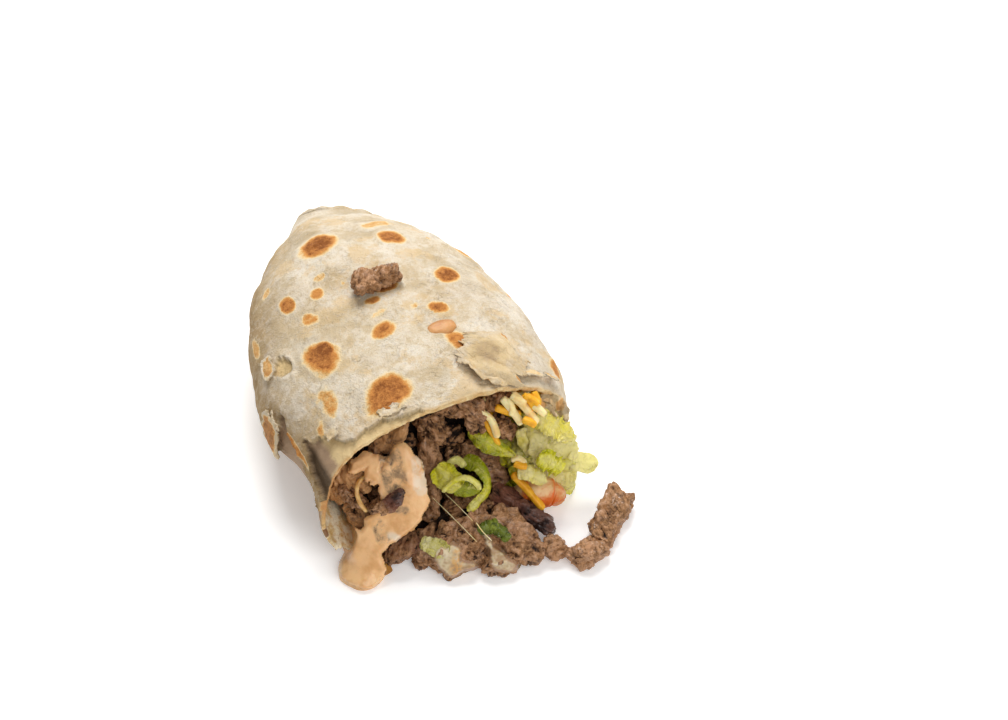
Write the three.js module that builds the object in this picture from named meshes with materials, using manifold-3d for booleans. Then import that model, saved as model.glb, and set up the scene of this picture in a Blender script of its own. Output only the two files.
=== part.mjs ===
// One half of a steak and shrimp burrito that was cut across, lying on its side with its filling
// spilling out of the cut. Millimetres, +Z up. The roll's closed end points along +Y and the cut faces
// -Y. The origin is the middle of the flat patch on which the roll rests.
//
// Every piece is a closed body. The pieces are listed from the one that keeps its whole shape to the one
// that gives way: each is cut back by CLEARANCE from all the pieces before it.
import * as THREE from "three";
import { ParametricGeometry } from "three/addons/geometries/ParametricGeometry.js";
import { mergeVertices } from "three/addons/utils/BufferGeometryUtils.js";
import Module from "manifold-3d";

const wasm = await Module();
wasm.setup();

// ---------------------------------------------------------------- driving dimensions

const CLEARANCE = 0.3; // between neighbours that touch
const REST_TO_CUT = 62; // from the origin to the cut, along -Y
const WALL = 2.4; // the wrap, two layers of tortilla thick
const LAYER = 1.3; // one of its layers
const WIDEST_AT = 0.47; // share of its height at which the roll is widest
const FLATTENED = 1.12; // how far the underside is pressed flat, 1 for a round one
const SIDE_TUCK = 1.25; // how far the sides draw in under the widest line, 1 for a round
const LIP_TUCK = 0.75; // the same at the cut, where the lower lip spreads on the floor
const CLOSED_END = 6; // how far the folded end bulges past the last station
const BODY_SHARE = 0.9; // share of the parameter along the roll that the stations cover
const BODY_ROWS = 0.82; // share of the rows that lie on that stretch
const SWELL = 0.5; // height of the soft lumps that the filling pushes into the wrap
const LIP_DEEP = 26; // how far from the cut the lower lip starts to reach out

// Outline of the roll: distance from the cut, left edge, right edge and height.
const STATIONS = [
  { y: -6, left: -45, right: 49.5, top: 53 },
  { y: 8, left: -47.5, right: 51, top: 54.5 },
  { y: 18, left: -50.5, right: 51.5, top: 55.5 },
  { y: 28, left: -54.5, right: 50.5, top: 55.5 },
  { y: 42, left: -56, right: 49.5, top: 55.5 },
  { y: 56, left: -54.5, right: 47, top: 55 },
  { y: 73, left: -51.5, right: 42, top: 54 },
  { y: 86, left: -48, right: 36.5, top: 52 },
  { y: 98, left: -42, right: 31, top: 48 },
  { y: 110, left: -34.5, right: 25, top: 42 },
  { y: 120, left: -26.5, right: 20, top: 35.5 },
  { y: 129, left: -20, right: 15.5, top: 29.5 },
];

// The lower lip reaches out past the cut on the left: angle round the roll in degrees (180 is the left
// side, 270 the underside), and how far it reaches.
const LIP = [
  [165, 0],
  [185, 2],
  [205, 5],
  [228, 6],
  [250, 4],
  [275, 0],
];

// The outer layer is torn back from the cut on the roll's left shoulder: angle round the roll in
// degrees (90 is the top, 180 the left side), and how far back the tear goes.
const TEAR = [
  [128, 0],
  [136, 6],
  [141, 11],
  [147, 11],
  [153, 14],
  [159, 19],
  [166, 11],
  [174, 0],
];

// Steak pieces: both ends of the middle line, width, thickness and turn about that line in degrees.
const STEAK = {
  steak_on_top: { from: [-9, 61, 60.2], to: [2, 63, 60], wide: 10, thick: 9, turn: 10 },
  steak_top_back: { from: [3, 11, 43], to: [11, 8, 42], wide: 8, thick: 7, turn: 20 },
  steak_top_middle: { from: [13, 8, 45], to: [15, 4, 35], wide: 8, thick: 7, turn: 40 },
  steak_top_right: { from: [20, 8, 39], to: [26, 8, 44], wide: 6, thick: 5, turn: 10 },
  steak_under_rim: { from: [-3, 13, 40], to: [0, 7, 33], wide: 11, thick: 9, turn: -20 },
  steak_upright: { from: [-3, 7, 33], to: [-7, -9, 9], wide: 8, thick: 7, turn: 15 },
  steak_inner_left: { from: [2, 10, 28], to: [8, 8, 27], wide: 8, thick: 7, turn: 0 },
  steak_inner_middle: { from: [2, 6, 20], to: [7, 4, 20], wide: 7, thick: 7, turn: 30 },
  steak_inner_right: { from: [10, 5, 22], to: [15, 4, 22], wide: 7, thick: 6, turn: -25 },
  steak_right_inner: { from: [16, 2, 20], to: [20, -5, 11], wide: 9, thick: 8, turn: 30 },
  steak_right_upper: { from: [22, 5, 33], to: [26, 2, 29], wide: 6, thick: 6, turn: 15 },
  steak_curl_upper: { from: [-34, 5, 28], to: [-37, 1, 18], wide: 8, thick: 7, turn: 0 },
  steak_curl_lower: { from: [-33, -2, 15], to: [-30, -8, 9], wide: 9, thick: 8, turn: 30 },
  steak_pointed: { from: [-29, -8, 19], to: [-17, -9, 24], wide: 8, thick: 7, turn: -20 },
  steak_sauced: { from: [-21, 9, 31], to: [-12, 9, 37], wide: 10, thick: 8, turn: 10 },
  steak_middle_low: { from: [0, -10, 9], to: [9, -9, 9], wide: 9, thick: 8, turn: 20 },
  steak_front_middle: { from: [-4, -20, 7], to: [8, -22, 8], wide: 12, thick: 9, turn: 25 },
  steak_front_left: { from: [-14, -18, 5], to: [-8, -27, 4], wide: 9, thick: 8, turn: 0 },
  steak_front_low: { from: [-4, -29, 3.4], to: [4, -28, 3.6], wide: 8, thick: 7, turn: 0 },
  steak_front_slab: { from: [16, -20, 11], to: [24, -35, 5], wide: 16, thick: 8, turn: 20 },
  steak_front_toe: { from: [7, -33, 3.4], to: [14, -35, 3.6], wide: 7, thick: 7, turn: 0 },
  steak_charred: { from: [16, -9, 11], to: [32, -26, 4], wide: 8, thick: 7, turn: -30 },
  steak_dark_left: { from: [-25, -19, 5], to: [-17, -18, 8], wide: 10, thick: 9, turn: 15 },
  steak_link: { from: [30, -32, 4], to: [34, -37, 3.6], wide: 8, thick: 7, turn: 0 },
  steak_bend: { from: [38, -40, 4], to: [45, -37, 3.6], wide: 9, thick: 7, turn: 0 },
  steak_stray: { from: [48, -33, 3.6], to: [61, -19, 4.4], wide: 10, thick: 7, turn: 8 },
};

// Lettuce: middle line, the direction that the upper face looks, width at the start, middle and end,
// height of the ruffle and how many waves it has.
const LETTUCE = {
  lettuce_leaf: {
    line: [[11, 7, 31], [18, 1, 27], [27, -5, 21]],
    facing: [-0.3, -0.5, 0.8], widths: [5, 11, 2.5], ruffle: 0.8, waves: 2,
  },
  lettuce_curl: {
    line: [[-5, -4, 25], [0, -7, 22], [6, -7, 22], [11, -12, 16]],
    facing: [-0.1, -0.8, 0.6], widths: [10, 12, 7], ruffle: 1.2, waves: 2,
  },
  lettuce_dark: {
    line: [[6, 0, 25], [12, -6, 19], [14, -11, 14], [9, -16, 9]],
    facing: [0.2, -0.8, 0.5], widths: [8, 7, 4], ruffle: 0.7, waves: 2,
  },
  lettuce_frill: {
    line: [[35, 3, 36], [42, -2, 30], [45, -6, 22], [45, -10, 14], [44, -15, 8]],
    facing: [0.1, -0.7, 0.7], widths: [12, 20, 8], ruffle: 1.8, waves: 4,
  },
  lettuce_lobe: {
    line: [[53, -9, 18], [57, -10, 14.5], [62, -10, 11]],
    facing: [0, -0.6, 0.8], widths: [8, 9, 7], ruffle: 0.6, waves: 1,
  },
  lettuce_tuft: {
    line: [[32, -9, 25], [37, -12, 23], [41, -14, 20]],
    facing: [-0.2, -0.7, 0.7], widths: [4, 9, 6], ruffle: 0.8, waves: 2,
  },
  lettuce_ruffle: {
    line: [[24, -11, 17], [30, -11, 18], [37, -15, 14]],
    facing: [0, -0.5, 0.9], widths: [6, 7, 5], ruffle: 0.8, waves: 2,
  },
  lettuce_rib: {
    line: [[29, 1, 31], [32, -3, 25], [35, -5, 19]],
    facing: [0, -0.8, 0.5], widths: [4, 7, 5], ruffle: 0.3, waves: 1,
  },
  lettuce_scrap: {
    line: [[-15, -22, 12], [-10, -26, 11], [-6, -29, 9.5]],
    facing: [-0.3, -0.5, 0.8], widths: [5, 7, 4], ruffle: 0.5, waves: 1,
  },
};
const CILANTRO = {
  line: [[6, -26, 14], [11, -27, 14.5], [15, -31, 13]],
  facing: [-0.2, -0.5, 0.8], widths: [5, 7, 4], ruffle: 0.5, waves: 2,
};
const LEAF_THICK = 0.9;
const CHUNK_LUMPS = 0.08; // height of a chunk's lumps, as a share of its size

// Shredded cheese: points of each shred's middle line.
const YELLOW_SHREDS = [
  [[21, 4, 42], [25, 2, 40.5], [29, 1, 39]],
  [[31, 3, 46], [33.5, 1, 42], [34, -1, 37]],
  [[17, 4, 37], [18.5, 1.5, 33], [20.5, -1.5, 28.5]],
  [[36, 6, 44], [36, 2, 40], [33, 0, 37]],
];
const WHITE_SHREDS = [
  [[23, 6, 46], [25.5, 2, 42], [28, -1.5, 37]],
  [[28, 4, 45], [30.5, 0, 41.5], [33, -3, 37.5]],
  [[15.5, 5, 41], [18.5, 2, 37.5], [21, -1, 33]],
];
const LONG_SHRED = [[24, -9, 20.5], [29.5, -15, 16], [34.5, -21.5, 10.5]];
const SHRED_WIDE = 2.9;
const SHRED_THICK = 2.2;

// Shrimp: middle line and the radius along it.
const SHRIMP = {
  line: [[24, -8, 9], [31, -12.5, 11], [37, -14, 8], [38, -16, 4.5]],
  radii: [4, 5.5, 4.8, 2.6],
};

// Sauce: a sheet that runs down the left of the heap into a puddle.
const SAUCE_SHEET = {
  line: [[-17, 3, 40], [-22, -6, 30], [-22, -13, 21], [-27, -19, 12], [-34, -22, 4.6]],
  facing: [-0.3, -0.8, 0.7], widths: [16, 32, 24, 15], ruffle: 1, waves: 1,
};
const SAUCE_THICK = 3.4;
const PUDDLE = { centre: [-36, -19.5, 0], across: 17.5, along: 17, high: 4.5 };
const DROP = { centre: [11, 34, 55.3], across: 11, along: 8, high: 2.6 };

// Melted cheese that binds the front of the heap.
const MELTED = {
  melted_left: { line: [[-12, -32, 7.5], [-5, -33.5, 6.5], [1, -34, 8]], wide: 7 },
  melted_right: { line: [[9, -31, 12.5], [13, -37, 9.5], [19, -41.5, 3]], wide: 6 },
};
const MELTED_THICK = 1.6;
const MELTED_FORM = { facing: [-0.2, -0.6, 0.7], ruffle: 0.4, waves: 1 };

// A torn, blistered flake of tortilla that lies on the roll beside the cut: corners on its upper side.
const FLAKE = { line: [[14, 24], [24, 17], [33, 9]], widths: [14, 24, 17], thick: 1.3, lift: 1.2 };

// What fills the roll behind the pieces that show.
const FILL_START = 11; // distance from the cut at which the packed filling starts
const HEAP = { centre: [3, -15, 0], across: 42, along: 34, high: 12 };
const SLOPE = { centre: [-14, 9, 2], across: 38, along: 26, high: 29 };
const LETTUCE_SLOPE = { centre: [34, 4, 2], across: 34, along: 30, high: 25 };
const PARTING = { x: 20, lean: 7 }; // steak left of this plane, lettuce and cheese right of it
const CHEESE_ABOVE = { z: 31, lean: 6 };

// ---------------------------------------------------------------- finishes

const finish = (color, roughness) =>
  new THREE.MeshStandardMaterial({ color, roughness, metalness: 0 });
const TORTILLA = () => finish(0xe4dac6, 0.85);
const COOKED_STEAK = () => finish(0x7a5644, 0.6);
const GREEN_LEAF = () => finish(0xb9cc55, 0.4);
const HERB = () => finish(0x3f6d24, 0.45);
const YELLOW_CHEESE = () => finish(0xf2b544, 0.4);
const PALE_CHEESE = () => finish(0xe8d6a8, 0.4);
const PINK_SHRIMP = () => finish(0xe99a6c, 0.35);
const CHILE_SAUCE = () => finish(0xe2ab80, 0.25);

// ---------------------------------------------------------------- bodies from surfaces

const vec = (p) => new THREE.Vector3(...p);
const signedPower = (value, power) => Math.sign(value) * Math.abs(value) ** power;
const ease = (t) => {
  const s = THREE.MathUtils.clamp(t, 0, 1);
  return s * s * (3 - 2 * s);
};

/** A smooth function through [place, value] pairs, with each slope taken from its neighbours. */
function through(pairs) {
  const slope = pairs.map((_, i) => {
    const a = pairs[Math.max(i - 1, 0)];
    const b = pairs[Math.min(i + 1, pairs.length - 1)];
    return (b[1] - a[1]) / (b[0] - a[0]);
  });
  return (place) => {
    const x = THREE.MathUtils.clamp(place, pairs[0][0], pairs.at(-1)[0]);
    const i = Math.min(pairs.findLastIndex((p) => p[0] <= x), pairs.length - 2);
    const span = pairs[i + 1][0] - pairs[i][0];
    const s = (x - pairs[i][0]) / span;
    const start = pairs[i][1] * (1 + 2 * s) + slope[i] * span * s;
    const end = pairs[i + 1][1] * (3 - 2 * s) + slope[i + 1] * span * (s - 1);
    return start * (1 - s) ** 2 + end * s ** 2;
  };
}

/** The manifold body of a closed geometry, turned to face outwards. */
function bodyOf(geometry) {
  geometry.deleteAttribute("normal");
  geometry.deleteAttribute("uv");
  const merged = mergeVertices(geometry, 1e-4);
  const faces = [];
  for (let i = 0; i < merged.index.count; i += 3) {
    const [a, b, c] = [0, 1, 2].map((k) => merged.index.getX(i + k));
    if (a !== b && b !== c && c !== a) faces.push(a, b, c);
  }
  const made = (triVerts) =>
    new wasm.Manifold(
      new wasm.Mesh({ numProp: 3, vertProperties: merged.attributes.position.array, triVerts }),
    );
  const body = made(new Uint32Array(faces));
  return body.volume() > 0 ? body : made(new Uint32Array(faces.reverse()));
}

/** A body whose surface closes on itself in u and runs from pole to pole in v. */
const pod = (point, slices, stacks) =>
  bodyOf(new ParametricGeometry((u, v, target) => target.copy(point(u, v)), slices, stacks));

/** A body of even thickness round the surface point(u, v), with both faces split alike. */
function sheet(point, slices, stacks, thickness) {
  const positions = [];
  const step = 1e-3;
  for (const side of [0.5, -0.5]) {
    for (let j = 0; j <= stacks; j++) {
      for (let i = 0; i <= slices; i++) {
        const [u, v] = [i / slices, j / stacks];
        const du = point(u + step, v).sub(point(u - step, v));
        const dv = point(u, v + step).sub(point(u, v - step));
        const normal = du.cross(dv).normalize();
        positions.push(...point(u, v).addScaledVector(normal, side * thickness));
      }
    }
  }
  const row = slices + 1;
  const under = row * (stacks + 1);
  const faces = [];
  for (let j = 0; j < stacks; j++) {
    for (let i = 0; i < slices; i++) {
      const [a, b, c, d] = [j * row + i, j * row + i + 1, (j + 1) * row + i + 1, (j + 1) * row + i];
      faces.push(a, b, c, a, c, d);
      faces.push(under + a, under + c, under + b, under + a, under + d, under + c);
    }
  }
  const wall = (a, b) => faces.push(a, under + a, under + b, a, under + b, b);
  for (let i = 0; i < slices; i++) {
    wall(i, i + 1);
    wall(stacks * row + i + 1, stacks * row + i);
  }
  for (let j = 0; j < stacks; j++) {
    wall((j + 1) * row, j * row);
    wall(j * row + slices, (j + 1) * row + slices);
  }
  const geometry = new THREE.BufferGeometry();
  geometry.setAttribute("position", new THREE.Float32BufferAttribute(positions, 3));
  geometry.setIndex(faces);
  return bodyOf(geometry);
}

/** The largest of the bodies that a cut leaves. */
const largest = (body) =>
  body
    .decompose().reduce((best, other) => (other.volume() > best.volume() ? other : best));

// ---------------------------------------------------------------- the roll

const leftEdge = through(STATIONS.map((s) => [s.y, s.left]));
const rightEdge = through(STATIONS.map((s) => [s.y, s.right]));
const topEdge = through(STATIONS.map((s) => [s.y, s.top]));
const tearDepth = through(TEAR);
const lipReach = through(LIP);
const [CUT_Y, LAST_Y] = [STATIONS[0].y, STATIONS.at(-1).y];

/** The cut is not square to the roll: it slants back to the right and towards the top. */
function cutSlant(x, y, z) {
  const near = 1 - THREE.MathUtils.clamp((y - CUT_Y) / 100, 0, 1);
  return near ** 3 * (3 + 0.12 * x + 0.09 * z);
}

/**
 * A point of the roll: along runs from 0 at the cut to 1 at the closed end, angle from 0 on the right
 * over 90 at the top. The section is a flattened round, and inset moves it inwards.
 */
function roll(along, angle, inset = 0) {
  const y = CUT_Y + Math.min(along / BODY_SHARE, 1) * (LAST_Y - CUT_Y);
  const cap = THREE.MathUtils.clamp((along - BODY_SHARE) / (1 - BODY_SHARE), 0, 1);
  const [left, right, top] = [leftEdge(y), rightEdge(y), topEdge(y)];
  const [middle, half, widest] = [(left + right) / 2, (right - left) / 2, WIDEST_AT * top];
  const turn = THREE.MathUtils.degToRad(angle);
  const [c, s] = [Math.cos(turn), Math.sin(turn)];
  const swell = SWELL * Math.sin(y / 9 + 2 * s) * Math.sin(3 * turn + y / 14) * Math.max(s, 0);
  const depth = inset - swell;
  const tuck = THREE.MathUtils.lerp(LIP_TUCK, SIDE_TUCK, ease((y - CUT_Y) / 22));
  const outward = (half - depth) * signedPower(c, s >= 0 ? 0.9 : tuck);
  const upward =
    s >= 0
      ? (top - widest - depth) * s ** 0.95
      : -(widest - inset) * Math.min(1, FLATTENED * (-s) ** 0.9);
  const closing = (1 - cap ** 2.6) ** 0.6;
  const x = middle + outward * closing;
  const z = widest + upward * closing;
  const endSlant = 0.42 * THREE.MathUtils.clamp((y - 95) / 38, 0, 1) ** 2 * (x - middle);
  const lip = lipReach(angle) * ease(1 - (y - CUT_Y) / LIP_DEEP) ** 2;
  const back = y + cap * (CLOSED_END - inset) - endSlant + cutSlant(x, y, z) - lip;
  return new THREE.Vector3(x, back, z);
}

/** How far the outer layer is missing at this place: 1 inside the tear, 0 elsewhere. */
function torn(along, angle) {
  if (angle <= TEAR[0][0] || angle >= TEAR.at(-1)[0]) return 0;
  const fromCut = (along / BODY_SHARE) * (LAST_Y - CUT_Y);
  return ease((tearDepth(angle) - fromCut) / 2 + 0.5);
}

/** Rows of the roll's surface lie closer together near the cut and round the closed end. */
function rowAlong(t) {
  const row = THREE.MathUtils.clamp(t, 0, 1);
  if (row < BODY_ROWS) return BODY_SHARE * (row / BODY_ROWS) ** 1.2;
  return THREE.MathUtils.mapLinear(row, BODY_ROWS, 1, BODY_SHARE, 1);
}

/** The wrap: from the closed end over the outside to the cut, and back along the inside. */
function wrap(grow) {
  const [outer, inner, round] = [24, 7, 44];
  const rows = outer + 1 + inner;
  return pod(
    (u, v) => {
      const row = v * rows;
      const angle = 360 * u;
      if (row <= outer + 0.5) {
        const along = rowAlong(1 - Math.min(row / outer, 1));
        return roll(along, angle, LAYER * torn(along, angle) - grow);
      }
      return roll(rowAlong((row - outer - 1) / inner), angle, WALL + grow);
    },
    round,
    rows,
  );
}

/** Height of the roll's upper side over a place on the floor. */
function rollTop(x, y) {
  let station = y;
  let z = 0;
  for (let pass = 0; pass < 4; pass++) {
    const [left, right, top] = [leftEdge(station), rightEdge(station), topEdge(station)];
    const across = Math.min(Math.abs((2 * x - left - right) / (right - left)), 1) ** (1 / 0.9);
    z = top * (WIDEST_AT + (1 - WIDEST_AT) * Math.sqrt(1 - across ** 2) ** 0.95);
    station = y - cutSlant(x, station, z);
  }
  return z;
}

// ---------------------------------------------------------------- the filling

/** A chunk: a rounded block along its middle line, with lumps that differ from seed to seed. */
function chunk({ from, to, wide, thick, turn }, grow, seed) {
  const [start, end] = [vec(from), vec(to)];
  const axis = end.clone().sub(start);
  const half = axis.length() / 2 + 0.32 * wide + grow;
  axis.normalize();
  const flat = new THREE.Vector3(0, 0, 1).cross(axis).normalize();
  flat.applyAxisAngle(axis, THREE.MathUtils.degToRad(turn));
  const up = axis.clone().cross(flat);
  const centre = start.add(end).multiplyScalar(0.5);
  const geometry = new THREE.SphereGeometry(1, 9, 6);
  const place = geometry.attributes.position;
  const d = new THREE.Vector3();
  for (let i = 0; i < place.count; i++) {
    d.fromBufferAttribute(place, i);
    const block = (Math.abs(d.x) ** 3 + Math.abs(d.y) ** 3 + Math.abs(d.z) ** 3) ** (-1 / 3);
    const across = Math.sin(3.7 * d.y + 2.3 * seed) * Math.sin(2.9 * d.z - seed);
    const size = block * (1 + CHUNK_LUMPS * (Math.sin(3.1 * d.x + seed) + across));
    const point = centre.clone();
    point.addScaledVector(axis, d.y * size * half);
    point.addScaledVector(flat, d.x * size * (wide / 2 + grow));
    point.addScaledVector(up, d.z * size * (thick / 2 + grow));
    place.setXYZ(i, point.x, point.y, Math.max(point.z, 0));
  }
  return bodyOf(geometry);
}

/** A leaf: a band along its middle line that cups and ruffles towards both edges. */
function leaf({ line, facing, widths, ruffle, waves, thick = LEAF_THICK, steps = 8 }, grow) {
  const curve = new THREE.CatmullRomCurve3(line.map(vec));
  const width = through(widths.map((w, i) => [i / (widths.length - 1), w]));
  const up = vec(facing);
  const cross = (u, v) => {
    const t = THREE.MathUtils.clamp(v, 0, 1);
    const tangent = curve.getTangent(t);
    const out = up.clone().cross(tangent).normalize();
    const lift = tangent.clone().cross(out);
    const s = 2 * u - 1;
    const wave = Math.sin(2 * Math.PI * waves * t + 1.5 * s);
    const point = curve.getPoint(t).addScaledVector(out, s * (width(t) / 2 + grow));
    point.addScaledVector(tangent, (v - t) * curve.getLength() + grow * (2 * t - 1));
    return point.addScaledVector(lift, ruffle * (wave * Math.abs(s) - s * s));
  };
  return sheet(cross, 4, steps, thick + 2 * grow);
}

/** A shred: a small rectangular section carried along its middle line. */
function shred(line, grow) {
  const [w, t] = [SHRED_WIDE / 2 + grow, SHRED_THICK / 2 + grow];
  const section = new THREE.Shape([[-w, -t], [w, -t], [w, t], [-w, t]].map((p) => new THREE.Vector2(...p)));
  const points = line.map(vec);
  const [first, last] = [points[0], points.at(-1)];
  first.addScaledVector(points[1].clone().sub(first).normalize(), -grow);
  last.addScaledVector(points.at(-2).clone().sub(last).normalize(), -grow);
  const extrudePath = new THREE.CatmullRomCurve3(points);
  return bodyOf(new THREE.ExtrudeGeometry(section, { steps: 4, extrudePath, bevelEnabled: false }));
}

/** The shrimp: a round body that tapers along its curled middle line. */
function shrimp(grow) {
  const curve = new THREE.CatmullRomCurve3(SHRIMP.line.map(vec));
  const radius = through(SHRIMP.radii.map((r, i) => [i / (SHRIMP.radii.length - 1), r]));
  const frames = curve.computeFrenetFrames(10, false);
  return pod(
    (u, v) => {
      const t = THREE.MathUtils.clamp(v, 0, 1);
      const k = Math.round(t * 10);
      const round = (radius(t) + grow) * Math.sqrt(Math.max(0, 1 - Math.abs(2 * t - 1) ** 6));
      const point = curve.getPoint(t);
      point.addScaledVector(frames.normals[k], round * Math.cos(2 * Math.PI * u));
      return point.addScaledVector(frames.binormals[k], round * Math.sin(2 * Math.PI * u));
    },
    10,
    10,
  );
}

/** A low dome with a flat foot, such as a puddle or a mound. */
function dome({ centre, across, along, high }, grow, lumps = 0) {
  const geometry = new THREE.SphereGeometry(1, 12, 6);
  const place = geometry.attributes.position;
  for (let i = 0; i < place.count; i++) {
    const [x, z, y] = [place.getX(i), place.getY(i), place.getZ(i)];
    const size = 1 + lumps * Math.sin(5 * x + 1) * Math.sin(4 * y + 2);
    place.setXYZ(
      i,
      centre[0] + x * size * (across / 2 + grow),
      centre[1] + y * size * (along / 2 + grow),
      centre[2] + Math.max(z, 0) * size * (high + grow) - (z > 0 ? 0 : grow),
    );
  }
  return bodyOf(geometry);
}

/** The sauce: a sheet down the left of the heap, fused to the puddle at its foot. */
function sauce(grow) {
  return leaf({ ...SAUCE_SHEET, thick: SAUCE_THICK, steps: 7 }, grow).add(dome(PUDDLE, grow));
}

/** The flake: a sheet that lies on the roll, from corner to corner of its middle line. */
function flake(grow) {
  const curve = new THREE.SplineCurve(FLAKE.line.map((p) => new THREE.Vector2(...p)));
  const width = through(FLAKE.widths.map((w, i) => [i / (FLAKE.widths.length - 1), w]));
  const lying = (u, v) => {
    const t = THREE.MathUtils.clamp(v, 0, 1);
    const tangent = curve.getTangent(t);
    const s = 2 * u - 1;
    const edge = width(t) / 2 + grow + 1.1 * Math.sin(9 * t + 4 * s);
    const middle = curve.getPoint(t).addScaledVector(tangent, (v - t) * curve.getLength());
    const [x, y] = [middle.x - tangent.y * s * edge, middle.y + tangent.x * s * edge];
    const blister = 1.4 * (1 - s * s) * Math.sin(Math.PI * t);
    return new THREE.Vector3(x, y, rollTop(x, y) + FLAKE.lift + blister);
  };
  return sheet(lying, 6, 7, FLAKE.thick + 2 * grow);
}

/** Everything inside the wrap behind the cut, with a lumpy front. */
function packed(grow) {
  return pod(
    (u, v) => {
      const angle = 360 * u;
      const wall = roll(rowAlong(Math.max(v - 0.2, 0) / 0.8), angle, WALL + CLEARANCE - grow);
      const start = FILL_START - grow;
      if (v >= 0.2) return wall.setY(Math.max(wall.y, start));
      const front = new THREE.Vector3(3, start + 1.5, 26);
      return front.lerp(new THREE.Vector3(wall.x, start, wall.z), v / 0.2);
    },
    18,
    11,
  );
}

/** A large block whose left face is the plane between the steak and what lies right of it. */
function rightOfParting(gap) {
  const block = new THREE.BoxGeometry(120, 400, 200).translate(60 + gap, 0, 0);
  block.rotateZ(THREE.MathUtils.degToRad(PARTING.lean)).translate(PARTING.x, 0, 0);
  return bodyOf(block);
}

/** A large block whose lower face is the plane between the lettuce and the cheese above it. */
function aboveParting(gap) {
  const block = new THREE.BoxGeometry(400, 400, 100).translate(0, 0, 50 + gap);
  block.rotateX(THREE.MathUtils.degToRad(-CHEESE_ABOVE.lean)).translate(0, 0, CHEESE_ABOVE.z);
  return bodyOf(block);
}

/** The steak that fills the left of the roll and slopes down out of the cut. */
const steakCore = (grow) =>
  packed(grow)
    .subtract(rightOfParting(grow))
    .add(dome(SLOPE, grow, 0.06))
    .add(dome(HEAP, grow, 0.08));

const lettuceCore = (grow) =>
  packed(grow)
    .intersect(rightOfParting(CLEARANCE - grow))
    .subtract(aboveParting(grow))
    .add(dome(LETTUCE_SLOPE, grow, 0.1));

const cheeseCore = (grow) =>
  packed(grow)
    .intersect(rightOfParting(CLEARANCE - grow))
    .intersect(aboveParting(CLEARANCE - grow));

// ---------------------------------------------------------------- assembly

const pieces = [
  ["tortilla", TORTILLA(), wrap],
  ["tortilla_flake", TORTILLA(), flake],
  ["steak_core", COOKED_STEAK(), steakCore],
  ["lettuce_core", GREEN_LEAF(), lettuceCore],
  ["cheese_core", YELLOW_CHEESE(), cheeseCore],
];
pieces.push(["shrimp", PINK_SHRIMP(), shrimp]);
for (const [name, shape] of Object.entries(LETTUCE)) {
  pieces.push([name, GREEN_LEAF(), (grow) => leaf(shape, grow)]);
}
pieces.push(["cilantro_leaf", HERB(), (grow) => leaf(CILANTRO, grow)]);
pieces.push(["cheese_shred_long", YELLOW_CHEESE(), (grow) => shred(LONG_SHRED, grow)]);
YELLOW_SHREDS.forEach((line, i) =>
  pieces.push(["cheese_shred_yellow_" + (i + 1), YELLOW_CHEESE(), (grow) => shred(line, grow)]),
);
WHITE_SHREDS.forEach((line, i) =>
  pieces.push(["cheese_shred_white_" + (i + 1), PALE_CHEESE(), (grow) => shred(line, grow)]),
);
for (const [name, { line, wide }] of Object.entries(MELTED)) {
  const shape = { line, widths: [wide / 2, wide, wide / 2], thick: MELTED_THICK, steps: 6, ...MELTED_FORM };
  pieces.push([name, PALE_CHEESE(), (grow) => leaf(shape, grow)]);
}
Object.entries(STEAK).forEach(([name, shape], i) =>
  pieces.push([name, COOKED_STEAK(), (grow) => chunk(shape, grow, 1.7 * i)]),
);
pieces.push(["sauce", CHILE_SAUCE(), sauce]);
pieces.push(["sauce_drop", CHILE_SAUCE(), (grow) => dome(DROP, grow)]);

/** A three.js mesh of a body. */
function meshOf(name, material, body) {
  const { vertProperties, triVerts } = body.getMesh();
  const geometry = new THREE.BufferGeometry();
  geometry.setAttribute("position", new THREE.BufferAttribute(vertProperties, 3));
  geometry.setIndex(new THREE.BufferAttribute(triVerts, 1));
  geometry.computeVertexNormals();
  const mesh = new THREE.Mesh(geometry, material);
  mesh.name = name;
  return mesh;
}

const burrito = new THREE.Group();
burrito.name = "burrito_half";
burrito.position.y = -REST_TO_CUT;

const placed = [];
for (const [name, material, build] of pieces) {
  let body = build(0);
  for (const before of placed) {
    if (body.intersect(before.grown).volume() > 1e-6) {
      body = body.subtract(before.grown);
      if (body.isEmpty()) throw new Error(name + " lies wholly inside " + before.name);
      body = largest(body);
    }
  }
  burrito.add(meshOf(name, material, body));
  placed.push({ name, grown: build(CLEARANCE) });
}

export default burrito;
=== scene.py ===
"""Looks of one half of a steak and shrimp burrito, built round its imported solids.

The half lies on its side. Its closed end points along +Y, and the cut faces -Y with the filling
spilling out of it. Every solid of the model is replaced by a finer piece of the same form: the wrap with
its toasted blisters and its torn outer layer, chunks of steak with their grain, leaves, shreds of cheese,
a shrimp, and sauce that is poured over them.

Sizes are in millimetres. Places are measured from the point on the floor under the middle of the cut,
with +X to the right, +Y into the roll and +Z up. `Piece` turns them into metres of the shared frame.
"""

from __future__ import annotations

import logging
import math
from dataclasses import dataclass, field, replace
from enum import Enum
from typing import Callable, Sequence, Union

import bmesh
import bpy
import numpy as np
from mathutils import Matrix, Vector


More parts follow.
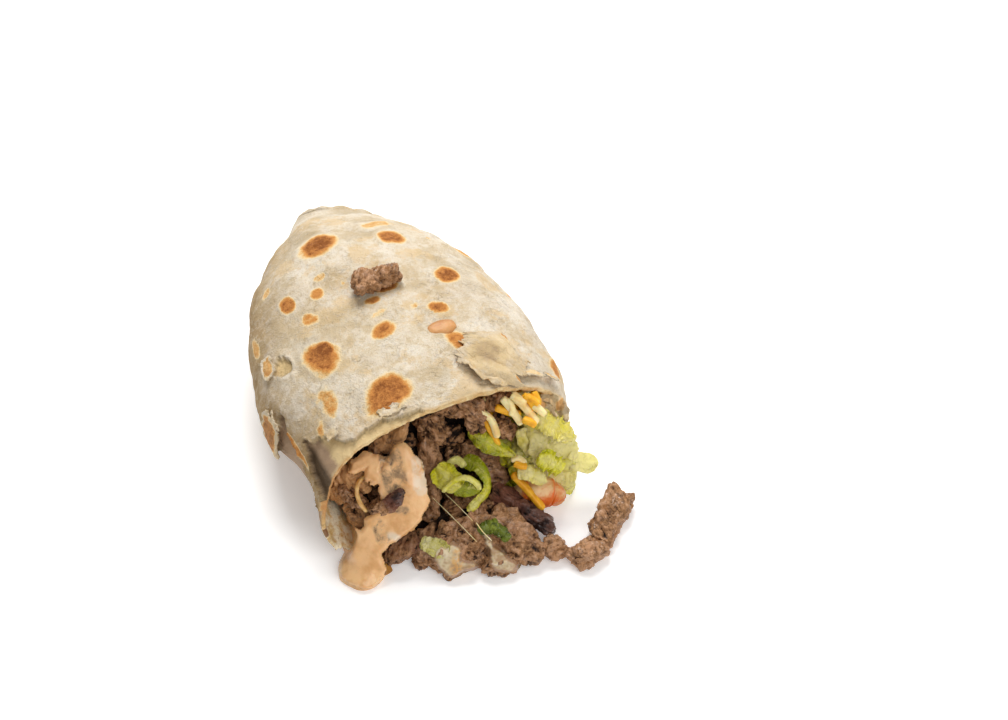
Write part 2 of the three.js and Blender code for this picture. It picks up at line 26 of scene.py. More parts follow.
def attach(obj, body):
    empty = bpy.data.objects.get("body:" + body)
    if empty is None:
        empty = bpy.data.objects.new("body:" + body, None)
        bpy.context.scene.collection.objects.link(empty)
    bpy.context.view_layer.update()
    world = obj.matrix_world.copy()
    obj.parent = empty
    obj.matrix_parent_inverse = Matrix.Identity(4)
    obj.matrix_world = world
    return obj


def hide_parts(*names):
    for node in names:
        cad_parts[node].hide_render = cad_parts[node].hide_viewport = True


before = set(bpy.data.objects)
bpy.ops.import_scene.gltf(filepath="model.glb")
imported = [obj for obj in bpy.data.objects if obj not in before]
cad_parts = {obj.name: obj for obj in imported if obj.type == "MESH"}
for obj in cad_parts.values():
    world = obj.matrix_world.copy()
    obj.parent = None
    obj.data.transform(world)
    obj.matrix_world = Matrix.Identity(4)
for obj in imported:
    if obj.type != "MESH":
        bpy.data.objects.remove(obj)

log = logging.getLogger("burrito")

Array = np.ndarray
Point = tuple[float, float, float]
Table = tuple[tuple[float, float], ...]

MM = 0.001
REST_TO_CUT = 62.0  # from the frame's origin to the middle of the cut, along -Y
BODY = "root"  # food has no joints, so everything rides on the one body
SEED_STEP = 20  # between the seeds of one leaf's bands


class Slot(Enum):
    """The record's material slots."""

    TORTILLA = "tortilla"
    STEAK = "steak"
    LETTUCE = "lettuce"
    HERB = "herb"
    YELLOW = "yellow_cheese"
    PALE = "pale_cheese"
    SHRIMP = "shrimp"
    SAUCE = "sauce"


# --- curves and noise


def ease(share: Array | float) -> Array:
    """A smooth step from 0 to 1: 3 s squared less 2 s cubed, with s held between 0 and 1."""
    s = np.clip(share, 0.0, 1.0)
    return s * s * (3.0 - 2.0 * s)


def mix(a: Array | float, b: Array | float, share: Array | float) -> Array:
    """A straight blend: a where the share is 0, b where it is 1."""
    return a + (b - a) * share


def unit(vectors: Array) -> Array:
    """The vectors divided by their lengths, along the last axis."""
    return vectors / np.maximum(np.linalg.norm(vectors, axis=-1, keepdims=True), 1e-9)


class Course:
    """A smooth function through given places and values, with each slope taken from its neighbours."""

    def __init__(self, pairs: Sequence[tuple[float, float]]) -> None:
        """Keeps the places, the values and the slope at each place.

        Args:
            pairs: (place, value) pairs in rising order of place.
        """
        table = np.array(pairs, float)
        self.places, self.values = table[:, 0], table[:, 1]
        wide = np.pad(table, ((1, 1), (0, 0)), "edge")
        step = wide[2:] - wide[:-2]
        self.slopes = step[:, 1] / step[:, 0]

    def __call__(self, place: Array | float) -> Array:
        """The values at these places: a cubic between two neighbours, constant outside.

        Args:
            place: one or many.

        Returns:
            The values there.
        """
        x = np.clip(place, self.places[0], self.places[-1])
        i = np.clip(np.searchsorted(self.places, x, side="right") - 1, 0, len(self.places) - 2)
        span = self.places[i + 1] - self.places[i]
        s = (x - self.places[i]) / span
        start = self.values[i] * (1 + 2 * s) + self.slopes[i] * span * s
        end = self.values[i + 1] * (3 - 2 * s) + self.slopes[i + 1] * span * (s - 1)
        return start * (1 - s) ** 2 + end * s**2


class Path:
    """A smooth line through points in space, with its parameter from 0 at the first to 1 at the last."""

    def __init__(self, points: Sequence[Sequence[float]]) -> None:
        """Makes one Course for each coordinate.

        Args:
            points: the line goes through them at even steps of its parameter.
        """
        count = len(points)
        steps = [i / (count - 1) for i in range(count)]
        self.axes = [Course([(t, p[k]) for t, p in zip(steps, points)]) for k in range(len(points[0]))]

    def at(self, t: Array) -> Array:
        """Points of the line, carried straight on past both of its ends.

        Args:
            t: parameters.

        Returns:
            The points, with one axis more.
        """
        inside = np.clip(t, 0.0, 1.0)
        place = np.stack([axis(inside) for axis in self.axes], -1)
        return place + (np.asarray(t) - inside)[..., None] * self.run(inside)

    def run(self, t: Array) -> Array:
        """How fast the line moves on, by a small difference about each parameter.

        Args:
            t: parameters.

        Returns:
            The change of place for a unit of the parameter.
        """
        a, b = np.clip(np.asarray(t) - 1e-3, 0, 1), np.clip(np.asarray(t) + 1e-3, 0, 1)
        rise = np.stack([axis(b) - axis(a) for axis in self.axes], -1)
        return rise / (b - a)[..., None]

    def section(self, t: Array, skyward: Point) -> tuple[Array, Array, Array]:
        """Where the line is, and two directions square to it.

        Args:
            t: parameters.
            skyward: roughly where the second direction points.

        Returns:
            The points, the directions across and the directions up.
        """
        tangent = unit(self.run(t))
        side = unit(np.cross(tangent, skyward))
        return self.at(t), side, np.cross(side, tangent)


def tube_grid(start: float, end: float, rings: int, around: int) -> list[Array]:
    """The parameter along a tube and the angle round it, as two grids."""
    turn = np.arange(around) * 2 * np.pi / around
    return np.meshgrid(np.linspace(start, end, rings), turn, indexing="ij")


class Noise:
    """Smooth seeded noise: random values on a repeating cubic lattice, blended between its corners."""

    SIDE = 32
    TURN = np.array([[0.36, 0.48, -0.8], [-0.8, 0.6, 0.0], [0.48, 0.64, 0.6]])  # between octaves

    def __init__(self, seed: int) -> None:
        """Draws the lattice's values between -1 and 1."""
        self.lattice = np.random.default_rng(seed).uniform(-1.0, 1.0, (self.SIDE,) * 3)

    def at(self, points: Array, size: float | Sequence[float]) -> Array:
        """One octave.

        Args:
            points: places in millimetres, (..., 3).
            size: length over which the noise changes, or one for each axis.

        Returns:
            Values between -1 and 1, without the last axis.
        """
        cell = points / np.asarray(size, float)
        low = np.floor(cell).astype(int)
        part = cell - low
        part = part**3 * (part * (part * 6 - 15) + 10)
        low %= self.SIDE
        high = (low + 1) % self.SIDE
        total = np.zeros(points.shape[:-1])
        for corner in np.ndindex(2, 2, 2):
            pick = np.where(np.array(corner), high, low)
            weight = np.prod(np.where(np.array(corner), part, 1 - part), axis=-1)
            total += weight * self.lattice[pick[..., 0], pick[..., 1], pick[..., 2]]
        return total

    def rough(self, points: Array, size: float, octaves: int = 4, keep: float = 0.5) -> Array:
        """A sum of octaves, each half the size of the last and keep times its height.

        Args:
            points: places in millimetres, (..., 3).
            size: of the coarsest octave.
            octaves: how many.
            keep: height of each as a share of the one before.

        Returns:
            Values about 0.
        """
        total, height, turned = np.zeros(points.shape[:-1]), 1.0, points
        for octave in range(octaves):
            total += height * self.at(turned, size * 0.5**octave)
            turned = turned @ self.TURN.T + 7.3
            height *= keep
        return total

    def creased(self, points: Array, size: float | Sequence[float], octaves: int = 3) -> Array:
        """Sharp valleys between round ridges: a sum of octaves of the noise's distance from 0.

        Args:
            points: places in millimetres, (..., 3).
            size: of the coarsest octave.
            octaves: how many.

        Returns:
            Values about 0.
        """
        total, height, step = np.zeros(points.shape[:-1]), 1.0, np.asarray(size, float)
        for octave in range(octaves):
            total += height * (np.abs(self.at(points + 11.7 * octave, step * 0.5**octave)) * 2 - 0.5)
            height *= 0.5
        return total


def spread(values: Array, cells: int, how: np.ufunc) -> Array:
    """Largest or smallest value of a grid within a square of this half width.

    Args:
        values: the grid.
        cells: half width of the square.
        how: np.maximum or np.minimum.

    Returns:
        The grid of results.
    """
    for axis in (0, 1):
        shifts = range(-cells, cells + 1)
        values = how.reduce([np.roll(values, k, axis) for k in shifts])
    return values


def blurred(values: Array, cells: float) -> Array:
    """A grid blurred by a bell of this half width.

    Args:
        values: the grid.
        cells: half width of the bell.

    Returns:
        The blurred grid.
    """
    reach = int(3 * cells)
    bell = np.exp(-0.5 * (np.arange(-reach, reach + 1) / cells) ** 2)
    for axis in (0, 1):
        shifts = range(-reach, reach + 1)
        values = sum(w * np.roll(values, k, axis) for k, w in zip(shifts, bell)) / bell.sum()
    return values


# --- meshes


@dataclass
class Shell:
    """A mesh in the making."""

    points: Array  # its points in millimetres, (n, 3)
    quads: Array  # rows of four point numbers; a triangle repeats its last one
    # Named values of each point, which finishes read: (n,) numbers or (n, 3) vectors.
    marks: dict[str, Array] = field(default_factory=dict)

    def normals(self) -> Array:
        """Direction out of the surface at each point: the sum of its faces' normals, made unit length.

        Returns:
            Unit vectors, (n, 3).
        """
        p, q = self.points, self.quads
        face = np.cross(p[q[:, 2]] - p[q[:, 0]], p[q[:, 3]] - p[q[:, 1]])
        total = np.zeros_like(p)
        for corner in range(4):
            np.add.at(total, q[:, corner], face)
        return unit(total)

    def volume(self) -> float:
        """Volume inside a closed shell, negative if its faces look inwards."""
        a, b, c, d = (self.points[self.quads[:, k]] for k in range(4))
        return float((np.sum(a * np.cross(b, c)) + np.sum(a * np.cross(c, d))) / 6)

    def turned(self) -> Shell:
        """The same surface with its faces looking the other way."""
        return replace(self, quads=self.quads[:, [1, 0, 3, 2]])

    def outward(self) -> Shell:
        """The same closed shell with its faces looking out."""
        return self if self.volume() > 0 else self.turned()

    def thickened(self, thickness: Array | float) -> Shell:
        """A closed body round this open sheet.

        Every point is moved half the thickness up and down its normal.

        Args:
            thickness: of the whole sheet, or one for each point.

        Returns:
            The closed body.
        """
        shift = self.normals() * np.reshape(thickness, (-1, 1)) / 2
        upper = replace(self, points=self.points + shift)
        return closed_between(upper, replace(self, points=self.points - shift).turned())

    @staticmethod
    def joined(shells: Sequence[Shell]) -> Shell:
        """Several shells as one, with the marks of the first; a shell that lacks one has 0 there.

        Args:
            shells: at least one.

        Returns:
            All of them in one.
        """
        starts = np.cumsum([0] + [len(s.points) for s in shells[:-1]])
        return Shell(
            np.concatenate([s.points for s in shells]),
            np.concatenate([s.quads + start for s, start in zip(shells, starts)]),
            {name: np.concatenate([s.marks.get(name, np.zeros(len(s.points))) for s in shells])
             for name in shells[0].marks},
        )


def closed_between(face: Shell, back: Shell) -> Shell:
    """A closed body from two sheets with the same points and opposite faces, walled along their edges.

    Args:
        face: the upper sheet.
        back: the lower one.

    Returns:
        The body, looking out.
    """
    count = len(face.points)
    edges = np.concatenate([face.quads[:, [k, (k + 1) % 4]] for k in range(4)])
    key = np.sort(edges, axis=1)
    _, first, times = np.unique(key, axis=0, return_index=True, return_counts=True)
    rim = edges[first[times == 1]]
    walls = np.stack([rim[:, 1], rim[:, 0], rim[:, 0] + count, rim[:, 1] + count], 1)
    return Shell(
        np.concatenate([face.points, back.points]),
        np.concatenate([face.quads, back.quads + count, walls]),
        {name: np.concatenate([mark, back.marks[name]]) for name, mark in face.marks.items()},
    ).outward()


def sheet(grid: Array, marks: dict[str, Array] | None = None, keep: Array | None = None) -> Shell:
    """An open sheet from a grid of points.

    Args:
        grid: (rows, columns, 3) places.
        marks: (rows, columns) values or (rows, columns, 3) vectors.
        keep: (rows, columns) places that stay; a face goes where any of its corners goes.

    Returns:
        The sheet, with the points that no face uses taken out.
    """
    rows, columns = grid.shape[:2]
    number = np.arange(rows * columns).reshape(rows, columns)
    quads = np.stack([number[:-1, :-1], number[:-1, 1:], number[1:, 1:], number[1:, :-1]], -1)
    if keep is not None:
        whole = keep[:-1, :-1] & keep[:-1, 1:] & keep[1:, 1:] & keep[1:, :-1]
        quads = quads[whole]
    quads = quads.reshape(-1, 4)
    used, renumbered = np.unique(quads, return_inverse=True)
    flat = {k: v.reshape((rows * columns,) + v.shape[2:])[used] for k, v in (marks or {}).items()}
    return Shell(grid.reshape(-1, 3)[used], renumbered.reshape(-1, 4), flat)


def pod(grid: Array, marks: dict[str, Array] | None = None) -> Shell:
    """A closed body from rings of points: each row of the grid is a ring, and its last row meets its first.

    The first and the last ring are drawn together to one point each.

    Args:
        grid: (rings, points round a ring, 3) places.
        marks: (rings, points) values or vectors.

    Returns:
        The body, looking out.
    """
    rings, around = grid.shape[:2]
    number = np.arange((rings - 2) * around).reshape(rings - 2, around) + 1
    after = np.roll(number, -1, axis=1)
    body = np.stack([number[:-1], after[:-1], after[1:], number[1:]], -1).reshape(-1, 4)
    last = (rings - 2) * around + 1
    start = np.stack([np.zeros(around, int), after[0], number[0], number[0]], -1)
    end = np.stack([np.full(around, last), number[-1], after[-1], after[-1]], -1)

    def flat(values: Array) -> Array:
        """Ring by ring, with one point at each end."""
        inner = values[1:-1].reshape((-1,) + values.shape[2:])
        return np.concatenate([values[0].mean(0)[None], inner, values[-1].mean(0)[None]])

    named = {name: flat(values) for name, values in (marks or {}).items()}
    return Shell(flat(grid), np.concatenate([start, body, end]), named).outward()


class Piece:
    """A finished object of the scene."""

    def __init__(self, name: str, shell: Shell, finish: bpy.types.Material, slot: Slot) -> None:
        """Puts the shell into a mesh of the shared frame, in metres, and lets it ride.

        Args:
            name: of the object.
            shell: its closed surface, in millimetres from under the cut.
            finish: its material.
            slot: where the record keeps that finish; not used.
        """
        quads = shell.quads
        short = (quads[:, 2] == quads[:, 3])
        sizes = np.where(short, 3, 4)
        keep = np.ones(quads.shape, bool)
        keep[short, 3] = False
        mesh = bpy.data.meshes.new(name)
        mesh.vertices.add(len(shell.points))
        place = (shell.points - (0.0, REST_TO_CUT, 0.0)) * MM
        mesh.vertices.foreach_set("co", place.astype(np.float32).ravel())
        mesh.loops.add(int(sizes.sum()))
        mesh.loops.foreach_set("vertex_index", quads[keep].astype(np.int32))
        mesh.polygons.add(len(sizes))
        starts = np.concatenate([[0], np.cumsum(sizes)[:-1]])
        mesh.polygons.foreach_set("loop_start", starts.astype(np.int32))
        mesh.update(calc_edges=True)
        mesh.validate()
        mesh.polygons.foreach_set("use_smooth", np.ones(len(mesh.polygons), bool))
        for mark, values in shell.marks.items():
            kind, key = ("FLOAT_VECTOR", "vector") if values.ndim == 2 else ("FLOAT", "value")
            layer = mesh.attributes.new(mark, kind, "POINT")
            layer.data.foreach_set(key, values.astype(np.float32).ravel())
        mesh.materials.append(finish)
        self.object = bpy.data.objects.new(name, mesh)
        bpy.context.scene.collection.objects.link(self.object)
        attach(self.object, BODY)
        log.info("%s: %d points, %d faces", name, len(shell.points), len(sizes))

    def stands_for(self, *nodes: str) -> Piece:
        """This piece is shown in place of these solids."""
        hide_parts(*nodes)
        return self


# --- finishes


def linear(code: int) -> tuple[float, float, float, float]:
    """A colour given as 0xRRGGBB on a screen, as the light that it stands for.

    Args:
        code: the colour.

    Returns:
        Red, green, blue and 1.
    """
    shares = [((code >> shift) & 255) / 255 for shift in (16, 8, 0)]
    light = [s / 12.92 if s <= 0.04045 else ((s + 0.055) / 1.055) ** 2.4 for s in shares]
    return (light[0], light[1], light[2], 1.0)


Socket = bpy.types.NodeSocket
Material = bpy.types.Material
Plug = Union["Wire", Socket, float, Sequence[float]]


class Wire:
    """A number that varies over a surface: an output socket on which Python's operators add Math nodes."""

    def __init__(self, bench: Bench, socket: Socket) -> None:
        """Keeps the socket and the bench whose tree it is in."""
        self.bench, self.socket = bench, socket

    def _math(self, operation: str, a: Plug, b: Plug) -> Wire:
        """A Math node on two values."""
        node = self.bench.add("Math", {"operation": operation}, {0: a, 1: b})
        return Wire(self.bench, node.outputs[0])

    def __add__(self, other: Plug) -> Wire:
        """The sum."""
        return self._math("ADD", self, other)

    __radd__ = __add__

    def __sub__(self, other: Plug) -> Wire:
        """The difference."""
        return self._math("SUBTRACT", self, other)

    def __rsub__(self, other: Plug) -> Wire:
        """The difference, taken from the other."""
        return self._math("SUBTRACT", other, self)

    def __mul__(self, other: Plug) -> Wire:
        """The product."""
        return self._math("MULTIPLY", self, other)

    __rmul__ = __mul__

    def __abs__(self) -> Wire:
        """The number without its sign."""
        return self._math("ABSOLUTE", self, 0.0)

    def over(self, low: float, high: float, bottom: float = 0.0, top: float = 1.0) -> Wire:
        """Bottom where this is low, top where it is high, and an eased step between.

        Args:
            low, high: where the step starts and ends.
            bottom, top: its values there.

        Returns:
            The stepped number.
        """
        settings = {"interpolation_type": "SMOOTHSTEP"}
        inputs = {"Value": self, "From Min": low, "From Max": high, "To Min": bottom, "To Max": top}
        return Wire(self.bench, self.bench.add("MapRange", settings, inputs).outputs["Result"])


class Bench:
    """The node tree of one finish."""

    def __init__(self, name: str) -> None:
        """An empty material with its output.

        Args:
            name: of the material.
        """
        self.material = bpy.data.materials.new(name)
        self.material.use_nodes = True
        self.tree = self.material.node_tree
        self.tree.nodes.clear()
        self.place = self.add("TexCoord").outputs["Object"]

    def add(self, kind: str, settings: dict | None = None, inputs: dict | None = None) -> bpy.types.Node:
        """Any node.

        Args:
            kind: its type without the word ShaderNode.
            settings: its own properties, set first; `stops` fills a colour ramp.
            inputs: what goes into its sockets, by name or number: a value or a link.

        Returns:
            The node.
        """
        node = self.tree.nodes.new("ShaderNode" + kind)
        for key, value in (settings or {}).items():
            if key == "stops":
                self._fill(node.color_ramp, value)
            else:
                setattr(node, key, value)
        for key, value in (inputs or {}).items():
            socket = node.inputs[key]
            if isinstance(value, Wire):
                self.tree.links.new(value.socket, socket)
            elif isinstance(value, Socket):
                self.tree.links.new(value, socket)
            else:
                socket.default_value = value
        return node

    @staticmethod
    def _fill(ramp: bpy.types.ColorRamp, stops: Sequence[tuple[float, int]]) -> None:
        """Gives a ramp its stops, each a position and a colour code.

        Args:
            ramp: the ramp.
            stops: in rising order.
        """
        while len(ramp.elements) < len(stops):
            ramp.elements.new(0.5)
        for element, (position, code) in zip(ramp.elements, stops):
            element.position, element.color = position, linear(code)

    def mark(self, name: str) -> Wire:
        """A number that the mesh carries."""
        return Wire(self, self.add("Attribute", {"attribute_name": name}).outputs["Fac"])

    def noise(self, size: float, detail: float = 3.0, where: Socket | None = None,
              rough: float = 0.55, warp: float = 0.0) -> Wire:
        """Cloudy noise about 0.5.

        Args:
            size: in millimetres.
            detail: octaves beyond the first.
            where: a vector in metres, or the place on the object.
            rough: how strong the finer octaves are.
            warp: how far the pattern is pulled about.

        Returns:
            Values from 0 to 1.
        """
        inputs = {"Vector": where or self.place, "Scale": 1 / (size * MM), "Detail": detail,
                  "Roughness": rough, "Distortion": warp}
        return Wire(self, self.add("TexNoise", {}, inputs).outputs["Fac"])

    def grains(self, size: float) -> Wire:
        """Distance from the nearest of many scattered points, about 0 to 1."""
        inputs = {"Vector": self.place, "Scale": 1 / (size * MM)}
        return Wire(self, self.add("TexVoronoi", {}, inputs).outputs["Distance"])

    def ramp(self, value: Wire, stops: Sequence[tuple[float, int]]) -> Socket:
        """A colour that goes through the stops as the value rises."""
        return self.add("ValToRGB", {"stops": stops}, {0: value}).outputs["Color"]

    def tint(self, under: Socket | int, over: Socket | int, share: Plug) -> Socket:
        """One colour laid over another.

        Args:
            under, over: each a link or a colour code.
            share: how much of the upper one covers the other.

        Returns:
            The colour.
        """
        pair = [linear(c) if isinstance(c, int) else c for c in (under, over)]
        settings = {"data_type": "RGBA", "clamp_factor": True}
        return self.add("Mix", settings, {0: share, 6: pair[0], 7: pair[1]}).outputs[2]

    def layers(self, under: Socket | int, *layers: tuple[Socket | int, Plug]) -> Socket:
        """A colour with thin layers laid over it in turn.

        Args:
            under: the lowest colour, a link or a colour code.
            layers: the colour and the share of each layer, from below.

        Returns:
            The colour on top.
        """
        for colour, share in layers:
            under = self.tint(under, colour, share)
        return under

    def bump(self, height: Wire, depth: float) -> Socket:
        """A normal from a height, with its depth in millimetres."""
        return self.add("Bump", {}, {"Height": height, "Distance": depth * MM}).outputs["Normal"]

    def close(self, inputs: dict) -> Material:
        """Ends the tree in a Principled shader with these inputs.

        Args:
            inputs: the shader's values and links.

        Returns:
            The finished material.
        """
        shader = self.add("BsdfPrincipled", {}, inputs)
        self.add("OutputMaterial", {}, {"Surface": shader.outputs[0]})
        return self.material


@dataclass(frozen=True)
class TortillaFinish:
    """Flour tortilla: floury cream with a beige mottle, browned blisters, and moist dough inside.

    Reads the marks toast (how browned), moist (inner side and cut edge), bare (outer layer torn off), wet
    (how much greyer: painted shade on the roll's left side, and a grey patch of its own on the flake), stain
    (sauce on it), fresh (painted light that makes the lip's inner face, which lies in shade, paler,
    with blotches and specks of its own) and deep (painted shade in the gap beside the tongue and along the
    torn edges, and darker spots of their own on the flake and the rim crumbs).
    """

    flour: int = 0xEBE1D0
    beige: int = 0xD3BF9E
    grey: int = 0xB09A72
    tan: int = 0xDCBE8E
    dough: int = 0xEACD98

    def make(self) -> Material:
        """Builds the material.

        Returns:
            The material.
        """
        bench = Bench("toasted_tortilla")
        cloud = bench.noise(12.0, 4.0, rough=0.62)
        mottle = bench.noise(2.8, 5.0, rough=0.74)
        grit = bench.noise(0.55, 2.0, rough=0.6)
        skin = self._skin(bench, cloud, mottle, grit)
        skin = self._toasted(bench, skin, mottle, grit)
        # wet: painted shade on the roll's left side, on the skin and where the outer layer is torn off; on
        # the flake a grey patch of its own.
        wet = bench.mark("wet") + (cloud - 0.5) * 0.8 + (mottle - 0.5) * 0.5
        torn = bench.layers(self.dough, (0xD6B884, bench.noise(6.0, 3.0).over(0.42, 0.66) * 0.8),
                            (0xA88A70, wet.over(0.45, 0.95) * 0.9))
        moist = bench.mark("moist")
        dough = bench.tint(0xDDB478, 0xF2D6A0, bench.noise(3.4, 4.0, rough=0.65).over(0.4, 0.62))
        stain = bench.mark("stain") * (bench.noise(7.0, 3.0) * 0.8 + mottle * 0.2).over(0.4, 0.55)
        lip_light, blotch = bench.mark("fresh"), bench.noise(4.5, 5.0, rough=0.68)
        skin = bench.layers(
            skin,
            (torn, bench.mark("bare")),
            (dough, moist),
            (0xC98F56, stain * 0.9),
            # Painted light: the lip's inner face lies in shade and is painted paler in blotches, then given
            # blotches and specks of its own.
            (0xFFF4D6, lip_light * blotch.over(0.64, 0.42) * 0.9),
            (0xD2A860, lip_light * blotch.over(0.52, 0.64) * 0.5),
            (0x8A5A26, lip_light * bench.grains(2.0).over(0.16, 0.07) * 0.55),
            (0x7E4C22, (bench.mark("toast") * moist + (mottle - 0.5) * 0.6).over(0.6, 0.85) * 0.9),
            # Painted shade in the gap beside the tongue and along the torn edges; darker spots of their own
            # on the flake and the rim crumbs.
            (0x4A3923, bench.mark("deep") * 0.85),
        )
        flaky = bench.noise(1.3, 4.0, rough=0.7, warp=0.5)
        relief = mottle * 0.6 + grit * 0.35 + flaky * 0.35 + self._creases(bench) * -0.12
        rough = mottle.over(0.3, 0.7, 0.72, 0.9) - moist * 0.3 - bench.mark("bare") * 0.15
        return bench.close({
            "Base Color": skin, "Roughness": rough, "Normal": bench.bump(relief, 1.1),
            "Specular IOR Level": 0.22, "Subsurface Weight": 0.08,
            "Subsurface Radius": (1.0, 0.7, 0.45), "Subsurface Scale": 0.9 * MM,
        })

    def _creases(self, bench: Bench) -> Wire:
        """Fine wrinkles: where a cloudy noise crosses its middle, in some places only."""
        line = abs(bench.noise(4.0, 4.0, rough=0.6, warp=0.6) - 0.5).over(0.02, 0.0)
        return line * bench.noise(9.0, 3.0).over(0.46, 0.6)

    def _skin(self, bench: Bench, cloud: Wire, mottle: Wire, grit: Wire) -> Socket:
        """The untoasted side.

        Args:
            bench: where the nodes go.
            cloud, mottle, grit: noises from coarse to fine.

        Returns:
            Its colour.
        """
        oily = bench.noise(16.0, 5.0, rough=0.68)
        # Uneven grey patches, with painted shade on the roll's left side from the wet mark.
        grey_and_shade = bench.noise(19.0, 4.0, rough=0.6) + (mottle - 0.5) * 0.4 + bench.mark("wet") * 0.22
        return bench.layers(
            self.beige,
            (self.flour, (cloud * 0.36 + mottle * 0.42 + grit * 0.22).over(0.4, 0.62)),
            (self.tan, oily.over(0.53, 0.62) * 0.65),
            (0xBFA27C, (mottle * 0.6 + grit * 0.4).over(0.54, 0.64) * 0.6),
            (self.grey, grey_and_shade.over(0.53, 0.72) * 0.5),
            # Painted shade on the roll's left side, and the flake's own grey patch.
            (0xA48455, bench.mark("wet") * mottle.over(0.78, 0.42) * 0.9),
            (0xF4EEE3, (mottle * 0.5 + grit * 0.5).over(0.57, 0.66) * 0.45),
            (0xC2AC88, (cloud * 0.6 + mottle * 0.4).over(0.5, 0.38) * 0.4),
            # Painted shade in the fine creases.
            (0x8A6A42, self._creases(bench) * 0.1),
        )

    def _toasted(self, bench: Bench, skin: Socket, mottle: Wire, grit: Wire) -> Socket:
        """Browned blisters with a golden halo over the untoasted side.

        Args:
            bench: where the nodes go.
            skin: the untoasted colour.
            mottle, grit: noises from coarse to fine.

        Returns:
            The colour.
        """
        toast = bench.mark("toast")
        inner = bench.noise(2.2, 5.0, rough=0.7)
        edge = (toast * (1.0 - toast)) * 1.2
        browned = toast + (mottle - 0.5) * (edge + 0.2) + (grit - 0.5) * 0.16 + (inner - 0.5) * toast * 1.3
        scorch = bench.ramp(browned, [(0.1, 0xF0E0BC), (0.28, 0xEED2A0), (0.44, 0xDFAE6C),
                                      (0.6, 0xD28F49), (0.78, 0xBE7B3E), (1.05, 0x8A5022)])
        return bench.tint(skin, scorch, browned.over(0.04, 0.34))


@dataclass(frozen=True)
class SteakFinish:
    """Grilled steak: brown with paler and darker fibres, moist, with painted shade in its cracks and deep in
    the heap and painted light on its crests.

    Reads the marks grain (place along and across the fibres), deep (how deep in a crack or in the heap, for
    the painted shade; below 0 on crests and on pieces painted as lit, for the painted light), char (how
    scorched) and coat (how much sauce clings).
    """

    brown: int = 0x8E6742
    dark: int = 0x4E2F18
    pale: int = 0xCA9C74
    burnt: int = 0x29130F
    sauce: int = 0xDDA56C

    def make(self) -> Material:
        """Builds the material.

        Returns:
            The material.
        """
        bench = Bench("grilled_steak")
        drawn = {"Vector": bench.add("Attribute", {"attribute_name": "grain"}).outputs["Vector"],
                 "Scale": (0.2, 1.0, 1.0)}
        grain = bench.add("Mapping", {}, drawn).outputs["Vector"]
        cloud = bench.noise(5.5, 4.0, rough=0.6)
        fibre = bench.noise(1.0, 4.0, grain, rough=0.65, warp=0.3)
        fleck = bench.noise(0.8, 3.0, rough=0.65)
        curd = bench.noise(2.2, 3.0, rough=0.6)
        grit = bench.noise(0.42, 2.0, rough=0.6)
        depth = bench.mark("deep")
        char = bench.mark("char") + (cloud - 0.5) * 0.6 + (fleck - 0.5) * 0.3
        grainy = (depth * -0.5 + fleck * 0.7 + curd * 0.4).over(0.5, 0.8)
        coat = (bench.mark("coat") + (cloud - 0.5) * 1.1 + (fleck - 0.5) * 0.4).over(0.3, 0.55)
        meat = bench.layers(
            bench.ramp(cloud * 0.25 + fibre * 0.3 + fleck * 0.15 + curd * 0.3,
                       [(0.41, self.dark), (0.465, self.brown), (0.52, 0xAB7B50), (0.6, self.pale)]),
            (0xD8A67E, (fleck * 0.5 + fibre * 0.5).over(0.53, 0.63) * 0.6),
            (0xA86E3A, bench.noise(4.0, 3.0).over(0.5, 0.7) * 0.35),
            (0x6A3B28, bench.noise(7.0, 2.0).over(0.5, 0.7) * 0.22),
            # Painted light: paler on the crests and on pieces painted as lit.
            (0xDCAA84, (depth * -1.0 + (fleck - 0.5) * 0.9).over(0.3, 1.0) * 0.45),
            (0x633226, char.over(0.15, 0.5) * 0.85),
            (self.burnt, char.over(0.5, 0.95) * 0.95),
            # Paler grains in the char, stronger on its crests: grain of its own, with painted highlight.
            (0x8A5A46, char.over(0.4, 0.9) * grainy * 0.4),
            # Painted shade: dark in the cracks and deep in the heap, near black in the deepest hollows.
            (0x2A1206, (depth + (fleck - 0.5) * 0.3).over(0.12, 0.9) * 0.92),
            (0x0C0502, depth.over(0.72, 1.0) * 0.8),
            (self.sauce, coat * 0.9),
        )
        relief = fibre * 0.55 + fleck * 0.35 + curd * 0.5 + grit * 0.16
        wet = bench.noise(3.0, 3.0).over(0.44, 0.6)
        shallow = depth.over(0.7, 0.1)
        rough = wet.over(0.0, 1.0, 0.62, 0.3) - coat * 0.1 + (1.0 - shallow) * 0.25
        film = (wet * 0.5 + char.over(0.5, 0.95) * 0.4) * shallow
        return bench.close({"Base Color": meat, "Roughness": rough, "Normal": bench.bump(relief, 1.5),
                            "Specular IOR Level": 0.3, "Coat Weight": film, "Coat Roughness": 0.18})


